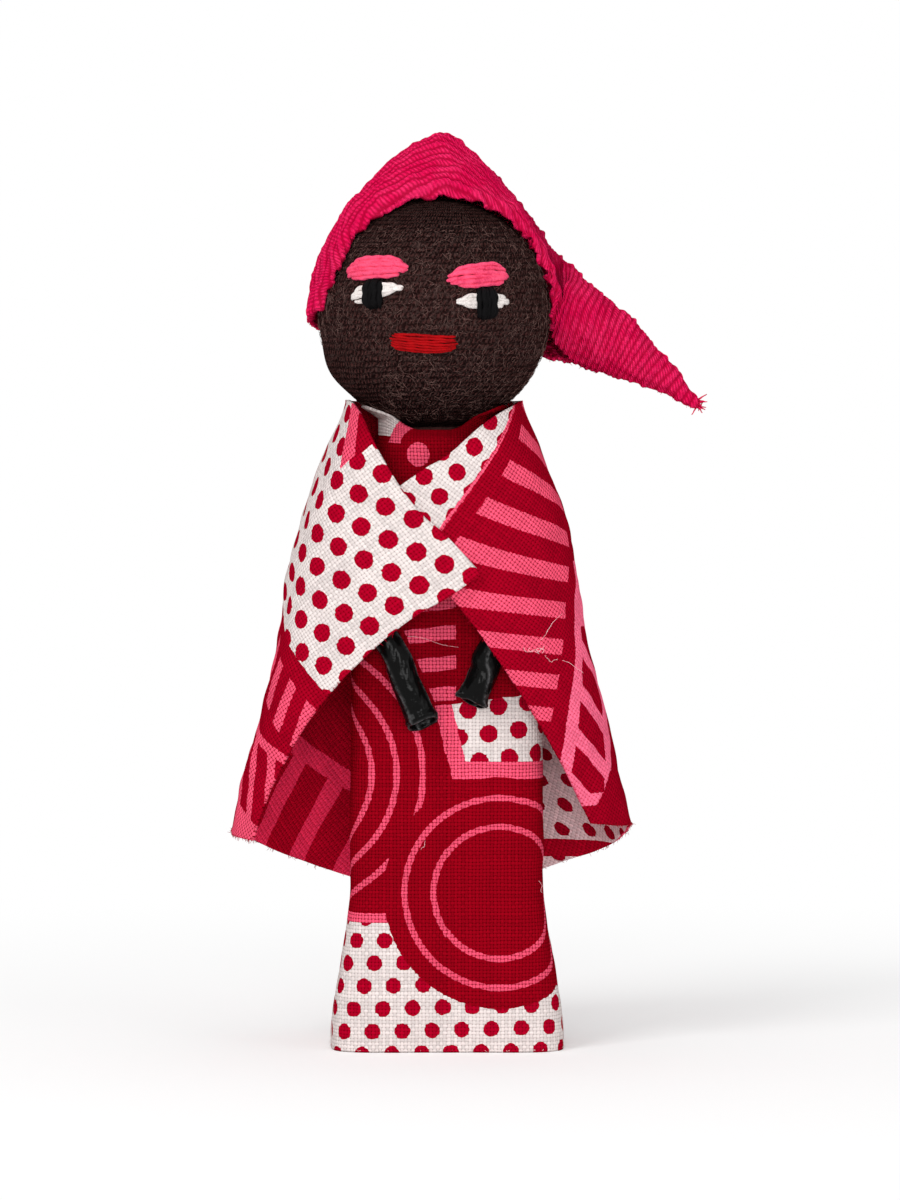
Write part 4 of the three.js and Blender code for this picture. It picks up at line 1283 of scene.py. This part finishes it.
def fringe(name, edge, out, count, length, paint, slot):
    """Short cut threads along an edge, clear of the floor; out is the way that each point's hang."""
    picks = rng.integers(0, len(edge), count)
    lines = []
    for k in picks:
        way = unit(out[k] + FRINGE_SPREAD * rng.normal(size=3))
        reach = length * rng.uniform(*FRINGE_LENGTHS)
        line = stray(edge[k] - FRINGE_ROOT * way, way, reach, FRINGE_CURL, rng, FRINGE_POINTS)
        line[:, 2] = np.maximum(line[:, 2], FRINGE_RADIUS)
        lines.append(line)
    piece = add_tubes(name, lines, [tapered(FRINGE_RADIUS, FRINGE_POINTS)] * count, 3)
    return wear(piece, slot, paint)


# The cut edges run down both flaps and along the hem
right_edge = cape_points[:, 0]
left_edge = cape_points[:, -1]
hem_edge = cape_points[-1]
cape_edge = np.concatenate([right_edge, left_edge, hem_edge])
cape_edge_out = np.concatenate([
    unit(right_edge - cape_points[:, EDGE_STEP]),
    unit(left_edge - cape_points[:, -1 - EDGE_STEP]),
    unit(hem_edge - cape_points[-1 - EDGE_STEP]),
])
cape_fringe = fringe("cape_threads", cape_edge, cape_edge_out, 420, 0.5, "red_fibre", "cape_print")
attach(cape_fringe, "body")
dress_hem = dress_points[-1] + [0, 0, HEM_FRINGE_RISE]
dress_hem_out = unit(dress_points[-1] * [1, 1, 0])
dress_fringe = fringe("dress_threads", dress_hem, dress_hem_out, 120, 0.35, "white_fibre", "dress_print")
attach(dress_fringe, "body")

# Lint on the cloth: where it starts in the front view, its heading, length and how much it curls
LINT = [
    (-3.9, 41.7, 6, 5.2, 0.06),
    (9.3, 41.5, 50, 3.4, 0.25),
    (9.7, 40.9, -80, 1.9, 0.7),
    (9.2, 40.5, -60, 1.8, 0.9),
    (9.9, 39.9, 120, 1.9, 0.9),
    (9.5, 40.2, 10, 1.6, 0.8),
    (8.5, 40.5, 150, 1.2, 0.4),
    (11.5, 39.4, -10, 2.6, 0.2),
    (-2.6, 20.3, 70, 1.1, 0.5),
    (9.2, 17.1, -60, 1.4, 0.6),
]
LINT_RADIUS = 0.024
LINT_POINTS = 14
LINT_REST = 0.3  # the cloth that a point of lint lies on reaches this far round it
shown = np.concatenate([cape_points.reshape(-1, 3), dress_points.reshape(-1, 3)])
shown = shown[shown[:, 1] < 0]


def laid_on_cloth(x, z):
    """The frontmost point of the cloth at a place in the front view."""
    away = np.hypot(shown[:, 0] - x, shown[:, 2] - z)
    near = shown[away < away.min() + LINT_REST]
    return np.array([x, near[:, 1].min() - LINT_RADIUS, z])


lint_rng = np.random.default_rng(8)
lint_lines = []
for x, z, heading, length, curl in LINT:
    line = []
    step = length / (LINT_POINTS - 1)
    for _ in range(LINT_POINTS):
        line.append(laid_on_cloth(x, z))
        heading += math.degrees(curl) * lint_rng.normal()
        x += step * math.cos(math.radians(heading))
        z += step * math.sin(math.radians(heading))
    lint_lines.append(np.array(line))
lint = add_tubes("lint", lint_lines, [LINT_RADIUS] * len(LINT), 4)
wear(lint, "cape_print", "lint")
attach(lint, "body")

# Head: stocking knit over a ball of filling, drawn in round the neck
HEAD_COLUMNS = 240
HEAD_LINES = 150
JOWL = 0.45  # the filling bulges low on the doll's right
JOWL_DROP = 5.8
JOWL_HEIGHT = 2.6
JOWL_SIDE = (4, 8)  # distances to the doll's right over which it comes in
HEAD_LUMPS = 0.06
LUMP_SIZE = 7
SMOOTH_CHIN = 3  # height above the neck over which the lumps begin
SLEEVE_LINES = 12
WALES = round(2 * math.pi * HEAD_RADIUS / WALE_PITCH)


def revolved(radius, z, columns):
    """Rings about the head's upright axis, one for each radius and height."""
    angle = np.linspace(0, 2 * math.pi, columns, endpoint=False)
    x = HEAD_X + radius[:, None] * np.sin(angle)
    y = -radius[:, None] * np.cos(angle)
    return np.stack([x, y, np.repeat(z[:, None], columns, axis=1)], axis=-1)


POLE = 0.01  # angle from the top at which the rings begin


def head_profile(radius, narrow, count):
    """Radius and height from the top of the ball to where it is as narrow as the neck."""
    angle = np.linspace(POLE, math.pi - math.asin(narrow / radius), count)
    return radius * np.sin(angle), head_z + radius * np.cos(angle)


ball_radius, ball_z = head_profile(HEAD_RADIUS, sleeve_radius, HEAD_LINES)
neck_z = ball_z[-1]
sleeve_z = np.linspace(neck_z, sleeve_foot, SLEEVE_LINES)[1:]
cover_radius = np.concatenate([ball_radius, np.full(len(sleeve_z), sleeve_radius)])
cover_z = np.concatenate([ball_z, sleeve_z])
cover = revolved(cover_radius, cover_z, HEAD_COLUMNS)
cover = np.concatenate([cover, cover[:, :1]], axis=1)
out = unit(cover - HEAD)
soft = smoothstep(cover[..., 2], neck_z, neck_z + SMOOTH_CHIN)
low = np.exp(-((cover[..., 2] - head_z + JOWL_DROP) / JOWL_HEIGHT) ** 2)
jowl = JOWL * low * smoothstep(HEAD_X - cover[..., 0], *JOWL_SIDE)
lumps = HEAD_LUMPS * (1 + ripple(cover, LUMP_SIZE, 11)) * soft
cover = cover + out * (jowl - lumps)[..., None]
courses = along(cover[:, :1], 0)[:, 0] / ROW_PITCH
wales = np.linspace(-WALES / 2, WALES / 2, HEAD_COLUMNS + 1)
knit_at = np.stack(np.broadcast_arrays(wales[None], courses[:, None]), axis=-1)
head_cover = add_sheet("head_stocking", cover, {"knit": knit_at})
wear(head_cover, "head_knit", "knit")
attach(head_cover, "head")
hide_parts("head_cover")


FILLING_SIDES = 64
FILLING_LINES = 40
BORE_LINES = 12
CORE_LINES = 20
SHOULDER_LINES = 16


def filling(name, points, seed, depth):
    """A closed lump of loose fibre through rings of points."""
    lumps = depth * (1 + ripple(points, 3, seed)) / 2
    middle = points.mean(axis=(0, 1))
    points = points - unit(points - middle) * lumps[..., None]
    piece = add_mesh(name, points.reshape(-1, 3), capped_faces(*points.shape[:2]))
    wear(piece, "stuffing", "wadding")
    return piece


filling_radius = HEAD_RADIUS - COVER_WALL - FIT
inner_radius, inner_z = head_profile(filling_radius, bore_radius, FILLING_LINES)
bore_z = np.linspace(inner_z[-1], head_z + FIT, BORE_LINES)
inner_radius = np.concatenate([inner_radius, np.full(BORE_LINES, bore_radius)])
head_rings = revolved(inner_radius, np.concatenate([inner_z, bore_z]), FILLING_SIDES)
head_filling = filling("head_filling", head_rings, 21, 0.12)
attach(head_filling, "head")
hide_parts("head_ball")

packed = CORE_WALL + FIT
stuffing_top = sleeve_foot - FIT
turn = np.linspace(0, 360, FILLING_SIDES, endpoint=False)
core_depth = CORE_HALF_DEPTH - packed
x, y = oval(CORE_HALF_WIDTH - packed, core_depth, core_depth, BLOCK_POWER, turn)
body_rings = []
for z in np.linspace(BASE_CARD + FIT, CORE_TOP, CORE_LINES):
    body_rings.append(np.stack([x, y, np.full_like(x, z)], axis=-1))
for z in np.linspace(CORE_TOP + 2 * FIT, stuffing_top, SHOULDER_LINES):
    body_rings.append(off_dress(turn, z, -CLOTH - FIT))
body_filling = filling("body_filling", np.array(body_rings)[::-1], 22, 0.2)
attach(body_filling, "body")
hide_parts("body_stuffing")

TURN_STEPS = 40
binding_turns = np.linspace(0, BINDING_TURNS, TURN_STEPS * BINDING_TURNS)
binding_reach = sleeve_radius + BINDING_RADIUS + FIT / 2
binding_line = np.stack([
    HEAD_X + binding_reach * np.cos(2 * math.pi * binding_turns),
    binding_reach * np.sin(2 * math.pi * binding_turns),
    sleeve_foot + 2 * BINDING_RADIUS + BINDING_PITCH * binding_turns,
], axis=-1)
binding = add_tubes("binding_thread", [binding_line], [BINDING_RADIUS], 10, lobes=3, twist=4)
wear(binding, "head_knit", "binding")
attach(binding, "head")
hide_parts("neck_binding")

# Face: floss strands that come up through the stocking, lie side by side and go down again.
# Each pad: degrees to the left and up from the head's front, tilt, half length, half height, strands,
# height, taper, paint and slot
FACE = {
    "right_eyelid": ((-33, 22.8), 4, 3.85, 1.2, 6, 0.3, 0.55, "pink", "pink_floss"),
    "left_eyelid": ((24.4, 18.9), 5, 3.6, 1.2, 6, 0.3, 0.55, "pink", "pink_floss"),
    "right_eye_white": ((-30.9, 10.8), 10, 3.3, 0.74, 4, 0.08, 0.7, "white", "white_floss"),
    "left_eye_white": ((25.5, 6.1), 0, 3.1, 0.74, 4, 0.08, 0.7, "white", "white_floss"),
    "right_pupil": ((-31, 9.6), 92, 1.4, 1.02, 5, 0.6, 0.2, "black", "black_floss"),
    "left_pupil": ((26.2, 5.2), 90, 1.55, 1.02, 5, 0.6, 0.2, "black", "black_floss"),
    "mouth": ((-5.3, -14.4), -3, 3.6, 0.94, 7, 0.25, 0.2, "red", "red_floss"),
}
STRAND_STEPS = 36
STRAND_LENGTHS = (0.95, 1.03)  # shares of the usual length
STRAND_WIDTHS = (0.92, 1.08)
STRAND_SKEW = (0.03, 0.75)  # in every pad, and more in one that tapers
END_DRAW = 0.8  # how far the ends of a tapered pad's strands are drawn together
STRAND_WAVE = 0.03
STRAND_SHIFT = 0.05
PAD_FALL = 0.5  # how much lower the outer strands lie
END_DIP = 2.6  # in strand radii, like the step up to every other strand
STRAND_STEP = 0.45
STRAND_TAPER = 0.25
# A strand's radius against its share of the pad: above 1 the strands press together
STRAND_OVERLAP = {"pink": 1.22, "white": 1.25, "black": 1.5, "red": 1.06}


def stitches(name, place, tilt, half_length, half_height, strands, height, taper, paint, slot):
    """A pad of satin stitch: strands on the head's surface, each dipping into it at both ends."""
    turn, rise = np.radians(place)
    outward = np.array([math.sin(turn) * math.cos(rise), -math.cos(turn) * math.cos(rise), math.sin(rise)])
    level = unit(np.cross([0, 0, 1], outward))
    lean = math.radians(tilt)
    lengthwise = level * math.cos(lean) + np.cross(outward, level) * math.sin(lean)
    crosswise = np.cross(outward, lengthwise)
    radius = STRAND_OVERLAP[paint] * half_height / strands
    lines = []
    radii = []
    for k in range(strands):
        across = half_height * ((2 * k + 1) / strands - 1)
        off_middle = (across / half_height) ** 2
        reach = half_length * math.sqrt(1 - taper * off_middle) * rng.uniform(*STRAND_LENGTHS)
        s = np.linspace(-1, 1, STRAND_STEPS)
        skew = (STRAND_SKEW[0] + STRAND_SKEW[1] * taper) * half_height / strands * rng.normal()
        draw = 1 - END_DRAW * taper * s ** 4
        b = across * draw + skew * s + STRAND_WAVE * np.sin(5 * s + rng.uniform(0, 6))
        a = s * reach + STRAND_SHIFT * rng.normal()
        crown = height * (1 - PAD_FALL * off_middle) * (1 - s ** 4)
        lift = crown - END_DIP * radius * np.abs(s) ** 16 + STRAND_STEP * radius * (k % 2)
        way = outward * HEAD_RADIUS + lengthwise * a[:, None] + crosswise * b[:, None]
        lines.append(HEAD + unit(way) * (HEAD_RADIUS + lift)[:, None])
        radii.append(radius * (1 - STRAND_TAPER * s ** 4) * rng.uniform(*STRAND_WIDTHS))
    piece = add_tubes(name + "_strands", lines, radii, 9, lobes=2, twist=2.4)
    wear(piece, slot, paint)
    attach(piece, "head")
    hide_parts(name)


for name, pad in FACE.items():
    stitches(name, *pad)

# Fuzz on the stocking: curled fibres that lie close to it
FUZZ_HAIRS = 3600
FUZZ_LOFT = 0.07
FUZZ_ROOT = 0.04  # hairs start this far under the surface
FUZZ_RISE = 0.22
FUZZ_LENGTHS = (0.5, 1.6)
FUZZ_CURL = 0.5
FUZZ_RADIUS = 0.024
FUZZ_HEIGHTS = (-0.9, 0.75)  # from and to, as shares of the head's radius from its middle
HAIR_POINTS = 7
hairs = []
while len(hairs) < FUZZ_HAIRS:
    way = unit(rng.normal(size=3))
    if not FUZZ_HEIGHTS[0] <= way[2] <= FUZZ_HEIGHTS[1]:
        continue
    start = HEAD + way * (HEAD_RADIUS - FUZZ_ROOT)
    lean = unit(FUZZ_RISE * way + unit(np.cross(way, rng.normal(size=3))))
    hair = stray(start, lean, rng.uniform(*FUZZ_LENGTHS), FUZZ_CURL, rng, HAIR_POINTS)
    away = np.linalg.norm(hair - HEAD, axis=-1) - HEAD_RADIUS
    hairs.append(HEAD + unit(hair - HEAD) * (HEAD_RADIUS + np.clip(away, 0, FUZZ_LOFT))[:, None])
fuzz = add_tubes("head_fuzz", hairs, [tapered(FUZZ_RADIUS, HAIR_POINTS)] * FUZZ_HAIRS, 3)
wear(fuzz, "head_knit", "fuzz")
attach(fuzz, "head")

# Hat
HAT_COLUMNS = 108
HAT_LINES = 450
HAT_THICKNESS = 0.45
RIM_TUCK = 0.7  # how far the edge turns in
RIM_FORWARD = 0.4  # how far it comes forward, more on the doll's right, and most beside the face
RIM_REACH = 2.4
RIM_SIDE = 2.6
RIM_SHARE = 0.025  # of the hat's length
RIM_END = 0.2  # where the edge's coming forward has faded out
ON_RIGHT = (0.45, 0.75)  # shares of the way round, like the next
BESIDE_FACE = (0.72, 0.88)
BESIDE_FALL = 0.8  # how much of it is lost again towards the end of the edge
CAP_END = (0.3, 0.6)  # shares of the length, like the next two
TAIL_START = 0.7
ROUND_HEAD = (0.15, 0.25)
TAIL_THIN = 0.5
RIB_WANDER = 0.5
RIB_DEPTH = 0.06
RIM_SWELL = 0.8  # how much deeper the ribs are at the edge
PAIR_DEPTH = 0.05
HAT_LUMPS = 0.13
HAT_PILLING = 0.08
HAT_LIFT = 0.02
LEAST_CLEAR = 0.25  # between the hat and the head
FORWARD_ROWS = 8  # rows back from the edge that show which way is forward
u, v = np.meshgrid(np.linspace(1, 0, HAT_COLUMNS), np.linspace(0, 1, HAT_LINES))
hat_points = hat_side(u, v)
hat_out = normals_of(hat_points)
rib_travel = along(hat_points, 0).mean(axis=1, keepdims=True)
hat_loops = along(hat_points, 1)
on_cap = 1 - smoothstep(v, *CAP_END)
at_side = smoothstep(u, *BESIDE_FACE) - BESIDE_FALL * smoothstep(u, BESIDE_FACE[1], 1)
cover_more = RIM_FORWARD + RIM_REACH * smoothstep(u, *ON_RIGHT) + RIM_SIDE * at_side
cover_more = cover_more * (1 - smoothstep(v, 0, RIM_END))
rib_travel = rib_travel + cover_more[0] - cover_more
slant = RIB_SLANT * on_cap * np.sqrt((2 * u - 1) ** 2 + 0.01)
ribs = rib_travel / RIB_PITCH + slant + RIB_WANDER * ripple(hat_points, 9, 31)
thin = 1 - TAIL_THIN * smoothstep(v, TAIL_START, 1)
edge = 1 + RIM_SWELL * (1 - smoothstep(v, 0, 0.02))
ribbed = RIB_DEPTH * np.cos(2 * math.pi * ribs) * edge + PAIR_DEPTH * np.cos(math.pi * ribs)
relief = (ribbed + HAT_LUMPS * ripple(hat_points, 3.2, 32)) * thin + HAT_PILLING * ripple(hat_points, 0.9, 33)
rim = 1 - smoothstep(v, 0, RIM_SHARE)
tooth_turns = hat_loops / TOOTH_PITCH + ripple(hat_points, 5, 34)
teeth = TOOTH * rim * np.maximum(np.cos(2 * math.pi * tooth_turns), 0)
forward = unit(hat_points[0] - hat_points[FORWARD_ROWS])
from_head = hat_points - HEAD
reach = np.linalg.norm(from_head, axis=-1) + relief + HAT_LIFT - RIM_TUCK * rim
reach = np.maximum(reach, HEAD_RADIUS + LEAST_CLEAR)
moved = unit(from_head + forward * (teeth + cover_more)[..., None]) * reach[..., None]
bulk = hat_points + hat_out * (relief + HAT_LIFT)[..., None]
hat_points = lerp(bulk, HEAD + moved, (1 - smoothstep(v, *ROUND_HEAD))[..., None])
rib_at = np.stack([hat_loops / LOOP_PITCH, np.broadcast_to(ribs, u.shape)], axis=-1)
hat = add_sheet("hat_knit", hat_points, {"rib": rib_at})
wear(hat, "hat_knit", "hood")
thicken(hat, HAT_THICKNESS)
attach(hat, "head")
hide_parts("hat")

# Loops and fibre ends at the hat's raw edges and its tip
hat_edge = np.concatenate([hat_points[0], hat_points[::4, 0], hat_points[::4, -1]])
hat_edge_out = np.concatenate([
    unit(hat_points[0] - hat_points[5]),
    unit(hat_points[::4, 0] - hat_points[::4, 2]),
    unit(hat_points[::4, -1] - hat_points[::4, -3]),
])
hat_fringe = fringe("hat_threads", hat_edge, hat_edge_out, 200, 0.35, "hood_fibre", "hat_knit")
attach(hat_fringe, "head")
tip = hat_points[-1].mean(axis=0)
tail_way = unit(tip - hat_points[-30].mean(axis=0))
TUFT_STRANDS = 26
TUFT_ROOT = 0.6
TUFT_SPREAD = 0.55
TUFT_LENGTHS = (0.8, 1.7)
TUFT_CURL = 0.4
TUFT_RADIUS = 0.13
tufts = []
for _ in range(TUFT_STRANDS):
    way = unit(tail_way + TUFT_SPREAD * rng.normal(size=3))
    reach = rng.uniform(*TUFT_LENGTHS)
    tufts.append(stray(tip - TUFT_ROOT * tail_way, way, reach, TUFT_CURL, rng, HAIR_POINTS))
tuft = add_tubes("hat_tuft", tufts, [tapered(TUFT_RADIUS, HAIR_POINTS)] * TUFT_STRANDS, 5)
wear(tuft, "hat_knit", "hood_fibre")
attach(tuft, "head")

# Arms: black film rolled into a tube, open at the hand
ARM_STEPS = 150
ARM_SIDES = 72
ARM_WALL = 0.22
MOUTH_DEPTH = 0.1
MOUTH_TILT = 0.6
MOUTH_FLARE = {"right": (1.12, 0.78), "left": (1.2, 0.45)}
# Spiral creases of each arm: how many, and their turns from the shoulder to the hand
CREASES = {"right": (3, 1.7), "left": (3, 2.4)}
CREASE_RISE = 0.13
ROLL_ANGLE = 356  # degrees that the film's outer turn covers
MOUTH_START = 0.86  # share of the arm's length where its end begins to open
MOUTH_STEPS = 10
LIP_RIPPLE = 0.12
CUFF = (0.975, 0.014, 0.14)  # share of the length where the film swells, its half-width and rise
ARM_DENTS = [(0.06, 4.5, 41), (0.04, 1.8, 42)]
END_SHARE = 0.006  # how far back from the end the painted highlight reaches
NEAR = 0.005
BEND_REACH = 1.3  # how far each way from the wire's bend the film would bend; the reach worked out from it is not used


def arm_middle(keys, steps):
    """Points on the arm's middle line at shares of its length."""
    steps = np.clip(steps, 0, 1)
    return np.stack([through(keys[:, k], steps) for k in range(3)], axis=-1)


def arm_rings(side):
    """Rings of the roll from the shoulder to the hand, then back down inside, and where a highlight is
    painted along the creases and the open end.
    """
    keys = ARMS[side]
    steps = np.concatenate([np.linspace(0, 1, ARM_STEPS), np.linspace(1, 1 - MOUTH_DEPTH, MOUTH_STEPS)])
    within = np.arange(len(steps)) >= ARM_STEPS
    centre = arm_middle(keys, steps)
    lengthwise = unit(arm_middle(keys, steps + NEAR) - arm_middle(keys, steps - NEAR))
    across = unit(np.cross([0, 1, 0], lengthwise))
    upward = np.cross(lengthwise, across)
    share = np.linspace(0, 1, ARM_SIDES)
    angle = np.radians(ARM_TWIST * steps[:, None] + ROLL_ANGLE * share[None])
    radius = ARM_RADIUS - ARM_LAP * (1 - share)[None] - ARM_WALL * within[:, None]
    wide, deep = MOUTH_FLARE[side]
    open_end = smoothstep(steps, MOUTH_START, 1)[:, None]
    cuff_at, cuff_width, cuff_rise = CUFF
    cuff = np.exp(-((steps - cuff_at) / cuff_width) ** 2)[:, None]
    x = radius * np.cos(angle) * lerp(1, wide, open_end)
    y = radius * np.sin(angle) * lerp(1, deep, open_end)
    rings = centre[:, None] + across[:, None] * x[..., None] + upward[:, None] * y[..., None]
    folds, turns = CREASES[side]
    spiral = folds * np.radians(ROLL_ANGLE * share[None]) + 2 * math.pi * turns * steps[:, None]
    crease = np.maximum(np.cos(spiral), 0) ** 8
    dent = wrinkles(rings, ARM_DENTS) - cuff_rise * cuff - CREASE_RISE * crease
    lip = open_end * (LIP_RIPPLE * ripple(rings, 2, 43) + MOUTH_TILT * y / ARM_RADIUS)
    inward = unit(centre[:, None] - rings)
    end = np.exp(-((steps - 1) / END_SHARE) ** 2) * ~within
    # where the highlight is painted on the film: along the creases and at the open end
    fold = np.maximum(crease ** 3, end[:, None])
    return rings + inward * dent[..., None] + lengthwise[:, None] * lip[..., None], fold


for side in ("left", "right"):
    rings, fold = arm_rings(side)
    faces = capped_faces(len(rings), ARM_SIDES)
    arm = add_mesh(side + "_arm_film", rings.reshape(-1, 3), faces, values={"fold": fold})
    wear(arm, "arm_plastic", "film")
    pivot = ARMS[side][BEND]
    reach = BEND_REACH * unit(ARMS[side][BEND + 1] - pivot)
    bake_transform(arm)
    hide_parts(side + "_arm", side + "_hand")

# Stage: a white floor that keeps the doll's shadow, lights from the upper left and the front, camera
FLOOR_HALF = 4000
floor_corners = [(FLOOR_HALF * x, FLOOR_HALF * y, 0) for x, y in ((-1, -1), (1, -1), (1, 1), (-1, 1))]
floor = add_mesh("floor", floor_corners, [[0, 1, 2, 3]])


def camera_ray(tree):
    """1 for what the camera sees directly, by reflection or through something clear."""
    path = add_node(tree, "LightPath")
    seen = Num(tree, path.outputs["Is Camera Ray"])
    for other in ("Is Glossy Ray", "Is Transmission Ray"):
        seen = seen.either(Num(tree, path.outputs[other]))
    return seen


FLOOR_COLOUR = (0.85, 0.85, 0.85)
FLOOR_GLOW = 0.22
FLOOR_FADE = (22, 150)  # from where to where it fades to white


def floor_paint():
    """Diffuse near the doll, so that its shadow shows, and fading to plain white further out."""
    material = bpy.data.materials.new("floor")
    material.use_nodes = True
    tree = material.node_tree
    tree.nodes.remove(tree.nodes["Principled BSDF"])
    seen = camera_ray(tree)
    place = add_node(tree, "TexCoord").outputs["Object"]
    length = add_node(tree, "VectorMath", {0: place}, operation="LENGTH").outputs["Value"]
    away = Num(tree, length).step(FLOOR_FADE[0] * MM, FLOOR_FADE[1] * MM)
    diffuse = add_node(tree, "BsdfDiffuse", {"Color": rgba(FLOOR_COLOUR)})
    glow = add_node(tree, "Emission", {"Strength": seen * FLOOR_GLOW})
    near = add_node(tree, "AddShader", {0: diffuse.outputs[0], 1: glow.outputs[0]})
    white = add_node(tree, "Emission")
    mixed = add_node(tree, "MixShader", {0: away * seen, 1: near.outputs[0], 2: white.outputs[0]})
    tree.links.new(mixed.outputs[0], tree.nodes["Material Output"].inputs["Surface"])
    return material


floor.data.materials.append(floor_paint())

SKY = 0.62
world = bpy.data.worlds.new("studio")
bpy.context.scene.world = world
world.use_nodes = True
tree = world.node_tree
sky = tree.nodes["Background"]
sky.inputs["Color"].default_value = (1, 1, 1, 1)
tree.links.new((camera_ray(tree) * (1 - SKY) + SKY).socket, sky.inputs["Strength"])

# Lights: place and target in millimetres, size in millimetres, watts
LIGHTS = {
    "key": ((-420, -480, 620), (0, 0, 45), 320, 2.3),
    "front": ((10, -700, 95), (0, 0, 40), 300, 2.25),
    "fill": ((520, -420, 120), (0, 0, 40), 320, 0.5),
    "glint": ((-230, -640, 330), (0, 0, 40), 14, 0.1),
}
for name, (place, target, size, watts) in LIGHTS.items():
    light = bpy.data.lights.new(name, "AREA")
    light.size = size * MM
    light.energy = watts
    lamp = bpy.data.objects.new(name, light)
    lamp.location = Vector(place) * MM
    lamp.rotation_euler = (Vector(target) - Vector(place)).to_track_quat("-Z", "Y").to_euler()
    bpy.context.scene.collection.objects.link(lamp)

camera = bpy.data.cameras.new("camera")
camera.sensor_fit = "VERTICAL"
camera.sensor_height = CAMERA_SENSOR
camera.lens = CAMERA_LENS
view = bpy.data.objects.new("camera", camera)
view.location = Vector((CAMERA_X, -CAMERA_DISTANCE, CAMERA_HEIGHT)) * MM
view.rotation_euler = Euler((math.radians(90 - CAMERA_PITCH), 0, 0))
bpy.context.scene.collection.objects.link(view)
bpy.context.scene.camera = view
bpy.context.scene.view_settings.view_transform = "Standard"
